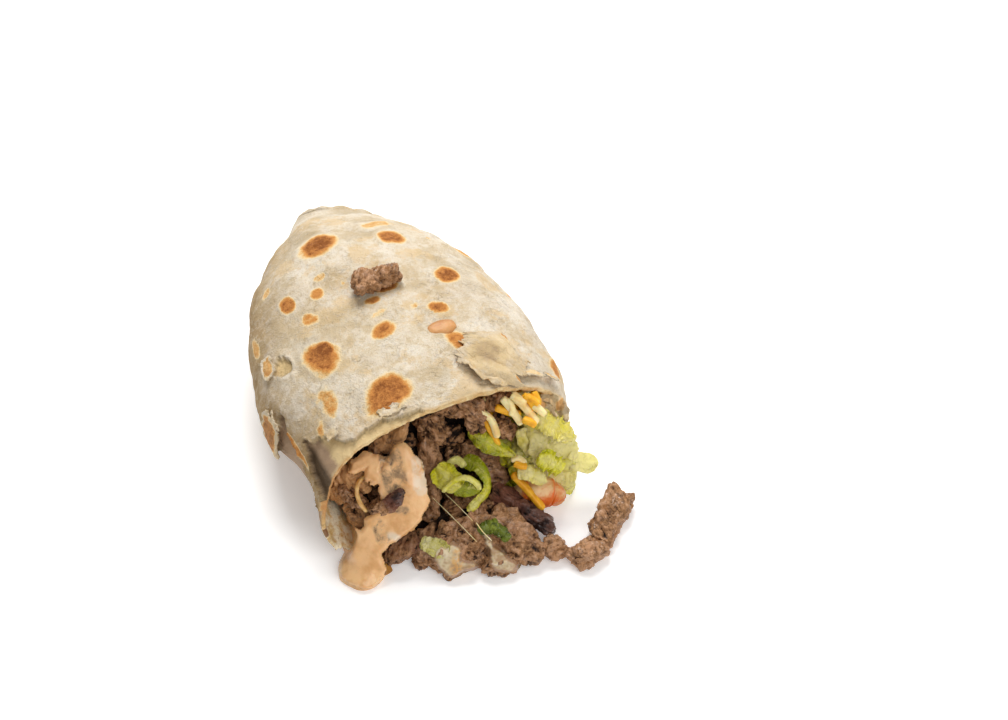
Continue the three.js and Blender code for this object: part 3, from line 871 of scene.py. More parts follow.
@dataclass(frozen=True)
class LeafFinish:
    """A wet leaf, pale along its rib and greener towards its edge.

    Reads the marks edge (0 on the rib, 1 on the edge) and vein (height of the veins).
    """

    name: str  # of the material
    rib: int  # the first of its colours, from the rib to the edge
    blade: int
    fringe: int
    soft: float = 0.45  # how much light goes through it

    def make(self) -> Material:
        """Builds the material.

        Returns:
            The material.
        """
        bench = Bench(self.name)
        cloud, fine = bench.noise(5.0, 4.0, rough=0.6), bench.noise(1.0, 3.0, rough=0.65)
        edge = bench.mark("edge") + (cloud - 0.5) * 0.8 + (fine - 0.5) * 0.35
        net = abs(bench.noise(3.0, 2.0, warp=0.6) - 0.5).over(0.035, 0.0)
        vein = bench.mark("vein")
        leaf = bench.layers(
            bench.ramp(edge, [(0.1, self.rib), (0.5, self.blade), (0.95, self.fringe)]),
            (self.rib, vein * 0.6 + net * 0.45),
            (0xF4F0CC, (fine * 0.5 + cloud * 0.5).over(0.58, 0.68) * (0.3 * self.soft)),
        )
        relief = fine * 0.7 + cloud * 0.6 + vein * 0.6 + net * 0.35
        return bench.close({
            "Base Color": leaf, "Roughness": bench.noise(4.0).over(0.3, 0.7, 0.22, 0.45),
            "Normal": bench.bump(relief, 0.6), "Specular IOR Level": 0.3, "Coat Weight": 0.15,
            "Coat Roughness": 0.08, "Subsurface Weight": self.soft,
            "Subsurface Radius": (0.9, 1.0, 0.3), "Subsurface Scale": 1.8 * MM,
        })


@dataclass(frozen=True)
class CheeseFinish:
    """Cheese: waxy, a little uneven, soft in the light.

    Reads the marks thin, where meat shows through, and milk, where it is yellow.
    """

    name: str  # of the material
    light: int  # the paler of its colours
    deep: int
    gloss: float = 0.08  # of the film of fat on it
    size: float = 3.4  # of its clouds in millimetres

    def make(self) -> Material:
        """Builds the material.

        Returns:
            The material.
        """
        bench = Bench(self.name)
        cloud, fine = bench.noise(self.size, 2.0), bench.noise(1.0, 3.0, rough=0.6)
        body = bench.layers(
            self.deep,
            (self.light, (cloud * 0.85 + fine * 0.15).over(0.36, 0.6)),
            (0xE0A650, bench.mark("milk") * fine.over(0.35, 0.6) * 0.7),
            (0x94694A, bench.mark("thin").over(0.1, 0.9) * 0.8),
        )
        return bench.close({
            "Base Color": body, "Roughness": cloud.over(0.3, 0.7, 0.35, 0.55),
            "Normal": bench.bump(cloud * 0.6 + fine * 0.4, 0.14), "Specular IOR Level": 0.3,
            "Coat Weight": self.gloss, "Coat Roughness": 0.15, "Subsurface Weight": 0.35,
            "Subsurface Radius": (1.0, 0.6, 0.25), "Subsurface Scale": 1.6 * MM,
        })


@dataclass(frozen=True)
class ShrimpFinish:
    """Cooked shrimp: white flesh with orange bands. Reads the mark band."""

    flesh: int = 0xF0C68E
    orange: int = 0xE06C1C

    def make(self) -> Material:
        """Builds the material.

        Returns:
            The material.
        """
        bench = Bench("cooked_shrimp")
        fine = bench.noise(0.8, 3.0, rough=0.65)
        band = bench.mark("band") + (bench.noise(2.4, 3.0) - 0.5) * 0.9 + (fine - 0.5) * 0.4
        skin = bench.ramp(band, [(0.2, self.flesh), (0.42, 0xE59A5C), (0.7, self.orange)])
        skin = bench.tint(skin, 0xB85A2A, fine.over(0.6, 0.7) * band.over(0.4, 0.8) * 0.6)
        return bench.close({
            "Base Color": skin, "Roughness": 0.36, "Normal": bench.bump(fine, 0.2),
            "Specular IOR Level": 0.35, "Coat Weight": 0.15, "Coat Roughness": 0.12,
            "Subsurface Weight": 0.3, "Subsurface Radius": (1.0, 0.45, 0.25), "Subsurface Scale": 2.0 * MM,
        })


@dataclass(frozen=True)
class SauceFinish:
    """Creamy chile sauce: glossy peach with fine specks, thin and grey over the meat in places.

    Reads the marks thin, where the film shows, and milk, where it is whiter.
    """

    name: str = "chile_sauce"  # of the material
    cream: int = 0xF6C48C  # the first of its colours, from thick to thin
    deep: int = 0xE1AA6F
    film: int = 0x8C7256
    rough: float = 0.26  # its roughness where it is thick
    gloss: float = 0.3  # of its wet coat

    def make(self) -> Material:
        """Builds the material.

        Returns:
            The material.
        """
        bench = Bench(self.name)
        smear = bench.noise(5.0, 5.0, rough=0.7, warp=0.3)
        thin = bench.mark("thin").over(0.1, 0.8) * smear.over(0.36, 0.62)
        body = bench.layers(
            self.deep,
            (self.cream, bench.noise(7.0, 3.0).over(0.35, 0.6)),
            (self.film, thin * 0.8),
            (0x352A22, thin * bench.noise(2.4, 5.0, rough=0.7).over(0.5, 0.64) * 0.7),
            (0xEED8BC, bench.mark("milk") * bench.noise(4.0, 3.0).over(0.3, 0.6) * 0.9),
            (0x7A4A2C, bench.grains(1.5).over(0.07, 0.03) * 0.45),
        )
        return bench.close({
            "Base Color": body, "Roughness": thin.over(0.0, 1.0, self.rough, self.rough + 0.14),
            "Normal": bench.bump(bench.noise(2.6, 3.0), 0.5), "Specular IOR Level": 0.4,
            "Coat Weight": self.gloss, "Coat Roughness": 0.12, "Subsurface Weight": 0.2,
            "Subsurface Radius": (1.0, 0.55, 0.3), "Subsurface Scale": 1.6 * MM,
        })


@dataclass(frozen=True)
class FloorFinish:
    """A plain pale board that glows a little, so that it stays nearly white."""

    pale: int = 0xF9F8F7

    def make(self) -> Material:
        """Builds the material.

        Returns:
            The material.
        """
        bench = Bench("pale_floor")
        return bench.close({"Base Color": linear(self.pale), "Roughness": 0.7, "Emission Strength": 0.24,
                            "Normal": bench.bump(bench.noise(3.0, 2.0), 0.02)})


# --- the roll and its wrap


@dataclass
class Roll:
    """Form of the roll: a flattened round section carried along Y and closed at its far end."""

    # Distance from the cut, left edge, right edge and height.
    stations: tuple[tuple[float, float, float, float], ...] = (
        (-6, -45, 49.5, 53), (8, -47.5, 51, 54.5), (18, -50.5, 51.5, 55.5), (28, -54.5, 50.5, 55.5),
        (42, -56, 49.5, 55.5), (56, -54.5, 47, 55), (73, -51.5, 42, 54), (86, -48, 36.5, 52),
        (98, -42, 31, 48), (110, -34.5, 25, 42), (120, -26.5, 20, 35.5), (129, -20, 15.5, 29.5),
    )
    widest_at: float = 0.47  # share of its height at which the roll is widest
    flattened: float = 1.12  # how far the underside is pressed flat
    side_tuck: float = 1.25  # how far the sides draw in under the widest line, 1 for a round
    lip_tuck: float = 0.75  # the same at the cut, where the lower lip spreads on the floor
    closed_end: float = 6.0  # how far the folded end bulges past the last station
    body_share: float = 0.9  # share of the parameter along the roll that the stations cover
    swell: float = 0.5  # height of the soft lumps that the filling pushes into the wrap

    def __post_init__(self) -> None:
        """Makes the smooth outlines and notes where the cut and the last station are."""
        outlines = [Course([(s[0], s[column]) for s in self.stations]) for column in (1, 2, 3)]
        self.left, self.right, self.top = outlines
        self.cut, self.last = float(self.stations[0][0]), float(self.stations[-1][0])

    def cut_slant(self, x: Array, y: Array, z: Array) -> Array:
        """The cut isn't square: it slants back to the right and towards the top."""
        near = 1 - np.clip((y - self.cut) / 100, 0, 1)
        return near**3 * (3 + 0.12 * x + 0.09 * z)

    def station(self, along: Array) -> Array:
        """Distance from the cut of a parameter along the roll."""
        return self.cut + np.minimum(along / self.body_share, 1) * (self.last - self.cut)

    def along(self, station: Array) -> Array:
        """The parameter along the roll of a distance from the cut."""
        return np.clip((station - self.cut) / (self.last - self.cut), 0, 1) * self.body_share

    def surface(self, along: Array, angle: Array, inset: Array | float = 0.0) -> Array:
        """Points of the roll.

        The section is a flattened round: its half width times a power of the angle's cosine, and its
        height above or below the widest line times a power of the sine. It closes like an ellipsoid
        over the last part of the parameter.

        Args:
            along: from 0 at the cut to 1 at the closed end.
            angle: in degrees, from 0 on the right over 90 at the top.
            inset: how far inside the outer form.

        Returns:
            Places in millimetres, with one axis more.
        """
        y = self.station(along)
        cap = np.clip((along - self.body_share) / (1 - self.body_share), 0, 1)
        left, right, top = self.left(y), self.right(y), self.top(y)
        middle, half, widest = (left + right) / 2, (right - left) / 2, self.widest_at * top
        turn = np.radians(angle)
        c, s = np.cos(turn), np.sin(turn)
        swell = self.swell * np.sin(y / 9 + 2 * s) * np.sin(3 * turn + y / 14) * np.maximum(s, 0)
        depth = inset - swell
        tuck = mix(self.lip_tuck, self.side_tuck, ease((y - self.cut) / 22))
        outward = (half - depth) * np.sign(c) * np.abs(c) ** np.where(s >= 0, 0.9, tuck)
        upward = np.where(
            s >= 0,
            (top - widest - depth) * np.abs(s) ** 0.95,
            -(widest - inset) * np.minimum(1, self.flattened * np.abs(s) ** 0.9),
        )
        closing = (1 - cap**2.6) ** 0.6
        x, z = middle + outward * closing, widest + upward * closing
        end_slant = 0.42 * np.clip((y - 95) / 38, 0, 1) ** 2 * (x - middle)
        back = y + cap * (self.closed_end - inset) - end_slant + self.cut_slant(x, y, z)
        return np.stack(np.broadcast_arrays(x, back, z), -1)

    def top_at(self, x: Array, y: Array) -> Array:
        """Height of the roll's upper side over a place on the floor, by four rounds of correction.

        Args:
            x, y: places on the floor.

        Returns:
            The heights.
        """
        station, z = np.asarray(y, float), np.zeros_like(x)
        for _ in range(4):
            left, right, top = self.left(station), self.right(station), self.top(station)
            across = np.minimum(np.abs((2 * x - left - right) / (right - left)), 1) ** (1 / 0.9)
            z = top * (self.widest_at + (1 - self.widest_at) * np.sqrt(1 - across**2) ** 0.95)
            station = y - self.cut_slant(x, station, z)
        return z

    def margin(self, points: Array) -> Array:
        """How far inside the roll's section a place is, as a share of the section: 0 on the outside.

        Args:
            points: (n, 3).

        Returns:
            The shares.
        """
        y = points[:, 1]
        left, right, top = self.left(y), self.right(y), self.top(y)
        widest = self.widest_at * top
        across = (2 * points[:, 0] - left - right) / (right - left)
        up = (points[:, 2] - widest) / (top - widest)
        return 1 - np.hypot(across, np.maximum(up, 0))


@dataclass(frozen=True)
class Patch:
    """A round or long place on the wrap."""

    centre: Point  # on the surface
    around: float  # half of its width round the roll
    along: float  # half of its length along the roll
    strength: float = 1.0  # how strong it is, up to 1
    turn: float = 0.0  # in degrees, tilts its long axis round the roll

    def reach(self, points: Array, ragged: Array | float = 0.0) -> Array:
        """Distance from the centre as a share of the half sizes, 1 on the patch's edge.

        Args:
            points: (..., 3).
            ragged: unevenness of the outline, as a share.

        Returns:
            The shares, larger by far on the roll's other sides.
        """
        centre = np.array(self.centre)
        out = unit(np.array([centre[0], 0.0, 1.3 * (centre[2] - 25.0)]))
        long_way = np.array([0.0, 1.0, 0.0])
        cross = np.cross(long_way, out)
        c, s = math.cos(math.radians(self.turn)), math.sin(math.radians(self.turn))
        away = points - centre
        a, b = away @ cross, away @ long_way
        across, length = a * c + b * s, b * c - a * s
        side = np.maximum(np.abs(away @ out) - 6.0, 0.0)  # far through the roll is another side
        flat = np.sqrt((across / self.around) ** 2 + (length / self.along) ** 2)
        return flat + ragged + side


# Browned blisters of the upper side, each with its own place.
BLISTERS = (
    Patch((-19, 92, 49), 6.2, 6.4, 0.86, 12),
    Patch((-17.5, 93, 49), 3.4, 4.4, 1.0, 12),
    Patch((-15.4, 11.4, 53), 8.2, 6.4, 0.84, 42),
    Patch((-33, 36.6, 51.8), 5.0, 6.6, 0.84, 20),
    Patch((-30.6, 39, 52), 2.8, 4.2, 1.04, 20),
    Patch((-33.6, 31, 51.3), 3.8, 3.0, 0.36, 20),
    Patch((-9, 39, 55), 4.6, 3.2, 0.72, 25),
    Patch((-8.6, 39.4, 55), 2.2, 1.7, 0.98, 25),
    Patch((-37, 68, 48), 2.4, 4.2, 0.8, 15),
    Patch((-26, 66, 52), 2.1, 2.6, 0.66),
    Patch((-32, 57, 51), 2.3, 3.8, 0.55, 25),
    Patch((-9, 54, 55), 3.0, 1.9, 0.72),
    Patch((-2, 59, 55), 4.4, 2.2, 0.9, 10),
    Patch((5, 47, 55), 1.2, 0.9, 0.5),
    Patch((13, 44, 55), 3.6, 2.2, 0.8, -20),
    Patch((-9, 47, 55), 3.2, 1.0, 0.34, 20),
    Patch((-23, 74, 52), 1.8, 1.3, 0.4),
    Patch((-16, 67, 54), 1.2, 1.8, 0.42),
    Patch((-42, 82, 42), 2.4, 3.8, 0.42),
    Patch((-34.4, 18.0, 48.0), 3.3, 6.2, 0.52, -16),
    Patch((-40.0, 11.0, 43.5), 1.9, 4.6, 0.5, -24),
    Patch((-55, 27, 30), 3.6, 4.8, 0.86),
    Patch((-51, 60, 37), 1.6, 5.0, 0.5),
    Patch((16, 25, 55), 3.4, 6.0, 0.75, 30),
    Patch((-50.5, 16, 34), 1.3, 9.5, 0.62, -8),
)

# Edge of the torn outer layer over the cut: angle round the roll, distance from the cut.
TORN_EDGE = ((94, -9), (99, -5), (105, -4), (112, -3), (120, -1.5), (130, -1.5), (136, 0), (141, 5),
             (147, 7), (153, 9), (158, 12), (163, 9), (168, 4), (173, -4), (176, -9))
# Left edge of the tongue that hangs on beside the tear, and the end of the layer behind it.
TONGUE_EDGE = ((157, 26), (165, 18), (172, 10), (177, 3), (181, -8))
FLAP_EDGE = ((157, 27), (165, 25), (172, 24), (180, 23.5), (187, 26), (195, 31), (205, 42), (215, 55),
             (225, 70))


@dataclass
class Wrap:
    """The tortilla: its outer side with blisters, wrinkles and the torn layer, its rim and its inner side."""

    roll: Roll = field(default_factory=Roll)  # the form that it covers
    wall: float = 2.4  # its thickness, two layers
    layer: float = 1.3  # one layer
    columns: int = 400  # points round the roll
    near_rows: int = 84  # rows within near_end of the cut
    far_rows: int = 118  # rows beyond it
    inner_rows: int = 22  # rows inside
    near_end: float = 30.0  # distance from the cut up to which the rows lie close
    # How far the lower lip reaches out on the floor: angle and length.
    lip: Table = ((165, 0), (185, 2), (205, 5), (228, 6), (250, 4), (275, 0))
    # How far it opens to the left: angle and length.
    flare: Table = ((172, 0), (186, 2.2), (200, 4.6), (222, 6), (242, 4), (262, 0))

    def __post_init__(self) -> None:
        """Makes the noises, the smooth edges and the further blisters."""
        self.noise, self.fine = Noise(3), Noise(4)
        self.blisters = BLISTERS + self._more_blisters(34)
        self.torn, self.tongue, self.flap = Course(TORN_EDGE), Course(TONGUE_EDGE), Course(FLAP_EDGE)
        self.reach_out, self.flare_out = Course(self.lip), Course(self.flare)

    def _more_blisters(self, count: int) -> tuple[Patch, ...]:
        """Seeded blisters on the right side, the underside and the end, kept apart from each other.

        Args:
            count: how many.

        Returns:
            The blisters.
        """
        rng = np.random.default_rng(12)
        made: list[Patch] = []
        while len(made) < count:
            angle, station = rng.uniform(-160, 75), rng.uniform(2, 126)
            spot = self.roll.surface(self.roll.along(station), np.array(angle))
            near = [np.linalg.norm(np.array(p.centre) - spot) for p in (*BLISTERS, *made)]
            size = rng.uniform(1.0, 4.6)
            if min(near) > 7 + size:
                made.append(Patch(tuple(spot), size, size * rng.uniform(0.6, 1.3),
                                  rng.uniform(0.45, 0.95), rng.uniform(-60, 60)))
        return tuple(made)

    def columns_round(self) -> Array:
        """Angles of the columns: close together on the left shoulder, where the layer is torn.

        Returns:
            Angles in degrees.
        """
        angle = np.linspace(0, 360, 721)
        density = 1 + 0.9 * ease((angle - 88) / 12) * ease((222 - angle) / 12)
        share = np.concatenate([[0], np.cumsum((density[1:] + density[:-1]) / 2)])
        return np.interp(np.arange(self.columns) / self.columns, share / share[-1], angle)

    def skin(self, station: Array, angle: Array, points: Array) -> Array:
        """How far inside the outer layer's edge a place is, in millimetres: negative where it is missing.

        The layer ends behind the torn edge, and beside the tongue it ends again at the flap.

        Args:
            station: distance from the cut.
            angle: round the roll, in degrees.
            points: the same places in space.

        Returns:
            The distances.
        """
        y = station + 1.5 * self.noise.rough(points, 3.4, 3, 0.6)
        turn = angle + 1.6 * self.noise.at(points, 4.2)
        shoulder = y - self.torn(turn)
        shoulder = np.where((turn > TORN_EDGE[0][0]) & (turn < TORN_EDGE[-1][0]), shoulder, 9.0)
        gap = np.minimum(y - self.tongue(turn), self.flap(turn) - y)
        side = np.where(turn > TONGUE_EDGE[0][0], -gap, 9.0)
        side = np.where(turn > FLAP_EDGE[-1][0], 9.0, side)
        hole = Patch((-45.5, 42, 45), 3.0, 5.0, 1.0, 20).reach(points, 0.3 * self.noise.at(points, 3.5)) - 1
        return np.minimum(np.minimum(shoulder, side), 3.6 * hole)

    def relief(self, points: Array, along: Array) -> tuple[Array, Array]:
        """Height of the wrinkles and blisters, and how browned each place is.

        Args:
            points: places on the roll.
            along: their parameter along it.

        Returns:
            The heights in millimetres, and the browning from 0 to 1.
        """
        height = 0.55 * self.noise.rough(points, 15.0, 3, 0.5) + 0.16 * self.fine.rough(points, 3.2, 3, 0.6)
        height += 0.3 * self.noise.creased(points * (1.0, 0.55, 1.0), 9.0, 2)
        toast = np.zeros(points.shape[:-1])
        ragged = 0.14 * self.noise.rough(points, 6.0, 4, 0.5)
        for spot in self.blisters:
            reach = spot.reach(points, ragged * (1.0 + 3.0 * (spot.strength < 0.6)))
            toast = np.maximum(toast, spot.strength * ease((1.42 - reach) / 0.78))
            puff = min(spot.around, spot.along) * 0.1 * min(spot.strength, 0.9)
            height += puff * ease((1.75 - reach) / 0.45) * (1 + 0.35 * self.fine.at(points, 2.5))
        pleats = np.sin(points[..., 0] * 0.9 + 3 * np.sin(points[..., 2] * 0.25))
        height += 0.22 * (pleats + 0.6 * self.noise.at(points, 6.0)) * ease((along - 0.84) / 0.12)
        return height, toast

    def outer(self, rows: Array, angles: Array) -> tuple[Array, dict[str, Array]]:
        """The outer side on a grid of rows along the roll and columns round it.

        Args:
            rows: parameters along the roll.
            angles: of the columns.

        Returns:
            The points and the marks.
        """
        along = rows[:, None] * np.ones_like(angles)
        angle = angles * np.ones_like(along)
        station = self.roll.station(along)
        base = self.roll.surface(along, angle)
        inside = self.skin(station, angle, base)
        missing = 1 - ease(inside / 0.6 + 0.5)
        edge = np.exp(-((inside / 1.3) ** 2))
        height, toast = self.relief(base, along)
        curl = 0.5 * edge * ease(inside / 0.5 + 0.3) * (0.3 + np.abs(self.noise.at(base, 4.0)) * 1.8)
        groove = missing * ease((angle - 154) / 8) * ease((179 - angle) / 4) * ease((14 - station) / 6)
        depth = missing * self.layer * 0.85 + groove * 0.95
        grid = self.raised(along, angle, depth, height * (1 - 0.5 * missing) + curl)
        marks = {
            "toast": toast * (1 - missing),
            "bare": missing,
            # Painted shade: greyer towards the left side, on the skin and where the outer layer is torn off.
            "wet": mix(self.grey_and_shade(base, angle), ease((angle - 138) / 14), missing),
            # Painted shade in the groove beside the tongue and along the torn edges.
            "deep": np.clip(groove + 0.7 * missing * np.exp(-((inside / 0.5) ** 2)), 0, 1),
        }
        return grid, marks

    def grey_and_shade(self, points: Array, angle: Array) -> Array:
        """How much greyer the roll is painted: painted shade, most on its left side, made uneven by a broad
        cloud.
        """
        side = ease((angle - 122) / 52) * ease((262 - angle) / 30) * ease((131 - points[..., 1]) / 30)
        return np.clip(1.05 * side + 0.25 * self.noise.rough(points, 22.0, 2), 0, 1)

    def raised(self, along: Array, angle: Array, depth: Array, height: Array) -> Array:
        """Points of the roll moved along their normals: out by the height and in by the depth.

        Args:
            along: parameters along the roll.
            angle: round it, in degrees.
            depth, height: in millimetres.

        Returns:
            The moved points.
        """
        base = self.roll.surface(along, angle)
        down = np.gradient(base, axis=0)
        around = np.roll(base, -1, axis=1) - np.roll(base, 1, axis=1)
        out = unit(np.cross(around, down))
        away = (base - (0.0, 0.0, 25.0)) * (1, 0, 1)
        sign = np.sign(np.sum(out * away, axis=-1, keepdims=True))
        fade = ease((1 - along) / 0.03)[..., None]
        moved = base + out * sign * fade * (height - depth)[..., None]
        moved[..., 2] = np.maximum(moved[..., 2], 0.05)
        station = self.roll.station(along)
        near = ease(1 - (station - self.roll.cut) / 26)
        ragged = 0.45 * self.noise.rough(base * (1, 0.1, 1), 6.0, 4, 0.55) * near**4
        reach = self.reach_out(angle % 360)
        torn = self.noise.rough(base * (1, 0.1, 1) + 5, 4.5, 4, 0.6) * near**3
        moved[..., 1] += ragged + 0.22 * reach * torn - reach * near**2
        moved[..., 0] -= self.flare_out(angle % 360) * ease(1 - (station - self.roll.cut) / 15) ** 1.5
        return moved

    def shell(self) -> Shell:
        """The closed wrap: from the closed end over the outside, round the rim and back inside.

        Returns:
            A closed body with its marks.
        """
        angles = self.columns_round()
        near = np.linspace(0, 1, self.near_rows) ** 1.15 * self.near_end + self.roll.cut
        far = np.linspace(self.near_end + self.roll.cut, self.roll.last, self.far_rows - 24)[1:]
        cap = np.linspace(self.roll.body_share, 1, 25)[1:]
        along = np.concatenate([self.roll.along(near), self.roll.along(far), cap])[::-1]
        outside, marks = self.outer(along, angles)
        inner_along = self.roll.along(np.linspace(0, 1, self.inner_rows) ** 1.3 * 118 + self.roll.cut)
        deep = inner_along[:, None] * np.ones_like(angles)
        turn = angles * np.ones_like(deep)
        lumpy = self.wall + 0.35 * self.noise.rough(self.roll.surface(deep, turn), 7.0, 3)
        inside = self.raised(deep, turn, lumpy, 0.0 * lumpy)
        steps = np.array([0.12, 0.35, 0.65, 0.88])[:, None, None]
        bulge = np.sin(np.pi * steps) * (0.0, -0.45, 0.0)
        rim = outside[-1] * (1 - steps) + inside[0] * steps + bulge
        crumb = 0.3 * self.fine.rough(rim, 1.6, 2)
        rim[..., 1] += crumb
        grid = np.concatenate([outside, rim, inside])
        extra = len(grid) - len(outside)
        bare, blank = np.zeros((len(outside), self.columns)), np.zeros((extra, self.columns))
        full = {name: np.concatenate([values, blank]) for name, values in marks.items()}
        near_rim = ease(1 - (self.roll.station(along) - self.roll.cut) / 1.6)[:, None]
        full["moist"] = np.concatenate([bare + near_rim * 0.5, blank + 1])
        stained = ease((angles - 118) / 22) * ease((194 - angles) / 14)
        full["stain"] = np.concatenate([bare, blank + stained])
        # The lip's inner face, which lies in shade: painted paler there as painted light.
        lip_light = ease((angles - 192) / 14) * ease((282 - angles) / 14)
        full["fresh"] = np.concatenate([bare, blank + lip_light])
        inward = np.concatenate([np.zeros(4), self.roll.station(inner_along) - self.roll.cut])[:, None]
        scorched = ease(1 - abs(angles - 201) / 10) * ease(1 - inward / 6.5)
        full["toast"] = np.concatenate([marks["toast"], scorched])
        return pod(grid, full)


@dataclass
class Flake:
    """The torn, blistered flake that lies on the roll beside the cut."""

    roll: Roll = field(default_factory=Roll)
    # Corners of its middle line, seen from above.
    line: Table = ((14, 24), (24, 17), (33, 9))
    widths: tuple[float, ...] = (14, 24, 17)  # at the start, middle and end of that line
    lift: float = 1.2  # how far it stands off the roll
    thick: float = 0.9  # its thickness

    def shell(self) -> Shell:
        """A ragged sheet on the roll that blisters in its middle and curls up at its edges.

        Returns:
            A closed body with its marks.
        """
        noise = Noise(21)
        u, v = np.meshgrid(np.linspace(-1, 1, 90), np.linspace(0, 1, 84))
        path, width = Path(self.line), Course(list(zip((0.0, 0.5, 1.0), self.widths)))
        tangent = unit(path.run(v))
        flat = np.stack([u * 14, v * 24, 0 * u], -1)
        edge = width(v) / 2 + 1.1 * np.sin(9 * v + 4 * u)
        edge *= 1 + 0.14 * noise.rough(flat * (0.3, 1, 1), 7.0, 4, 0.6) * np.abs(u) ** 2
        jagged = 0.09 * noise.rough(flat * (1, 0.2, 1) + 40, 4.5, 4, 0.6)
        middle = path.at(v + jagged * np.abs(2 * v - 1) ** 3)
        x = middle[..., 0] - tangent[..., 1] * u * edge
        y = middle[..., 1] + tangent[..., 0] * u * edge
        rim = np.maximum(np.abs(u), np.abs(2 * v - 1))
        height = self.roll.top_at(x, y) + self.lift + 1.5 * (1 - u * u) * np.sin(np.pi * v)
        height += 0.6 * noise.rough(flat, 7.0, 3) + 0.8 * ease((rim - 0.7) / 0.3) * noise.at(flat + 9, 5.0)
        height += 0.5 * noise.creased(flat * (1, 0.5, 1), 7.0, 3)
        toast = 0.8 * ease((noise.at(flat + 60, 3.0) - 0.45) / 0.25) * ease((rim - 0.86) / 0.1)
        floury = ease((rim - 0.6 + 0.4 * noise.rough(flat + 5, 6.0, 3)) / 0.3)
        patch = ease((1.3 - Patch((23, 18, 52), 5.0, 6.0).reach(np.stack([x, y, 52 + 0 * x], -1))) / 0.9)
        marks = {
            "toast": toast,
            "moist": 0.2 * ease((rim - 0.88) / 0.12),
            "bare": (0.55 - 0.4 * floury) * (1 - toast),
            "wet": 0.28 + 0.55 * patch,
            "deep": 0.07 * patch,
        }
        thickness = self.thick * (1 - 0.55 * ease((rim - 0.75) / 0.25))
        return sheet(np.stack([x, y, height], -1), marks).thickened(thickness.ravel())


# --- steak


@dataclass(frozen=True)
class Chunk:
    """A chunk of steak: a rounded block along its middle line."""

    start: Point  # one end of the middle line
    end: Point
    wide: float  # width of its section
    thick: float
    turn: float = 0.0  # of the section about the line, in degrees
    char: float = 0.0  # how scorched it is
    coat: float = 0.0  # how much sauce clings to it
    bend: float = 0.0  # how far its middle is pushed sideways
    square: float = 0.0  # how little its box is cut by the seeded planes
    shade: float = 0.0  # painted shade for lying deep inside; below 0 it is painted lighter, as painted light
    tip: float = 0.0  # how much more scorched its end is than its middle

    def shell(self, seed: int, rings: int = 64, around: int = 92) -> Shell:
        """Its surface.

        A direction sweeps a sphere. It is cut by six planes of a box and by eight seeded ones, joined
        softly, which gives blunt facets. Noise makes them uneven, and creased noise that is drawn out
        along the fibres cuts the grain and the cracks.

        Args:
            seed: for its own facets.
            rings: rows from end to end.
            around: points in a row.

        Returns:
            A closed body with its marks.
        """
        noise = Noise(100 + seed)
        line = np.array(self.end, float) - np.array(self.start, float)
        half = np.linalg.norm(line) / 2 + 0.32 * self.wide
        axis = unit(line)
        flat = unit(np.cross([0.0, 0.0, 1.0], axis))
        spin = Matrix.Rotation(math.radians(self.turn), 3, Vector(axis))
        flat = np.array(spin @ Vector(flat))
        up = np.cross(axis, flat)
        polar, turn = tube_grid(0, np.pi, rings, around)
        d = np.stack([np.sin(polar) * np.cos(turn), np.cos(polar), np.sin(polar) * np.sin(turn)], -1)
        size = np.array([self.wide / 2, half, self.thick / 2])
        local = d * self._facets(d, seed)[..., None] * size
        lumps = 0.96 + 0.17 * noise.rough(local + 31, 5.0, 2, 0.5)
        local = local * lumps[..., None]
        local[..., 0] += self.bend * (1 - (local[..., 1] / half) ** 2)
        grain_way = np.array([[0.82, 0.57, 0.0], [-0.57, 0.82, 0.0], [0.0, 0.0, 1.0]])
        grain = (local + 0.8 * np.stack([noise.at(local + k, 5.0) for k in (3, 17, 29)], -1)) @ grain_way.T
        fibres = noise.creased(grain / (4.0, 1.0, 1.0), 1.5, 3)
        crack = 1 - ease((noise.creased(grain / (1.6, 1.0, 1.0) + 50, 4.6, 1) + 0.5) / 0.1)
        crack *= ease((noise.at(local + 90, 5.0) - 0.05) / 0.3)
        nodules = noise.rough(local + 70, 2.4, 4, 0.68)
        out = unit(d / size)
        height = 0.4 * fibres + 0.58 * nodules - 0.5 * crack
        local = local + out * height[..., None]
        centre = (np.array(self.start) + np.array(self.end)) / 2
        place = centre + local @ np.stack([flat, axis, up])
        place[..., 2] = np.maximum(place[..., 2], 0.1)
        marks = {
            "grain": grain * MM,
            # deep: painted shade in the cracks, between the lumps and from the shade field; painted light on
            # the crests and where the shade field is below 0.
            "deep": np.clip(0.5 * crack - height / 0.8 + 1.1 * self.shade, -1, 1.2),
            "char": self.char + self.tip * local[..., 1] / half,
            "coat": self.coat + 0.0 * height,
        }
        return pod(place, marks)

    def _facets(self, d: Array, seed: int) -> Array:
        """Distance to the planes in each direction: a soft least of all of them.

        Args:
            d: unit vectors.
            seed: of the eight planes.

        Returns:
            The distances.
        """
        rng = np.random.default_rng(4000 + seed)
        ways = np.concatenate([np.eye(3), -np.eye(3), unit(rng.normal(size=(8, 3)))])
        away = np.concatenate([np.ones(6), rng.uniform(0.92, 1.14, 8) + 0.3 * self.square])
        share = np.maximum(d @ ways.T, 0.0) / away
        return np.sum(share**8, -1) ** (-1 / 8)


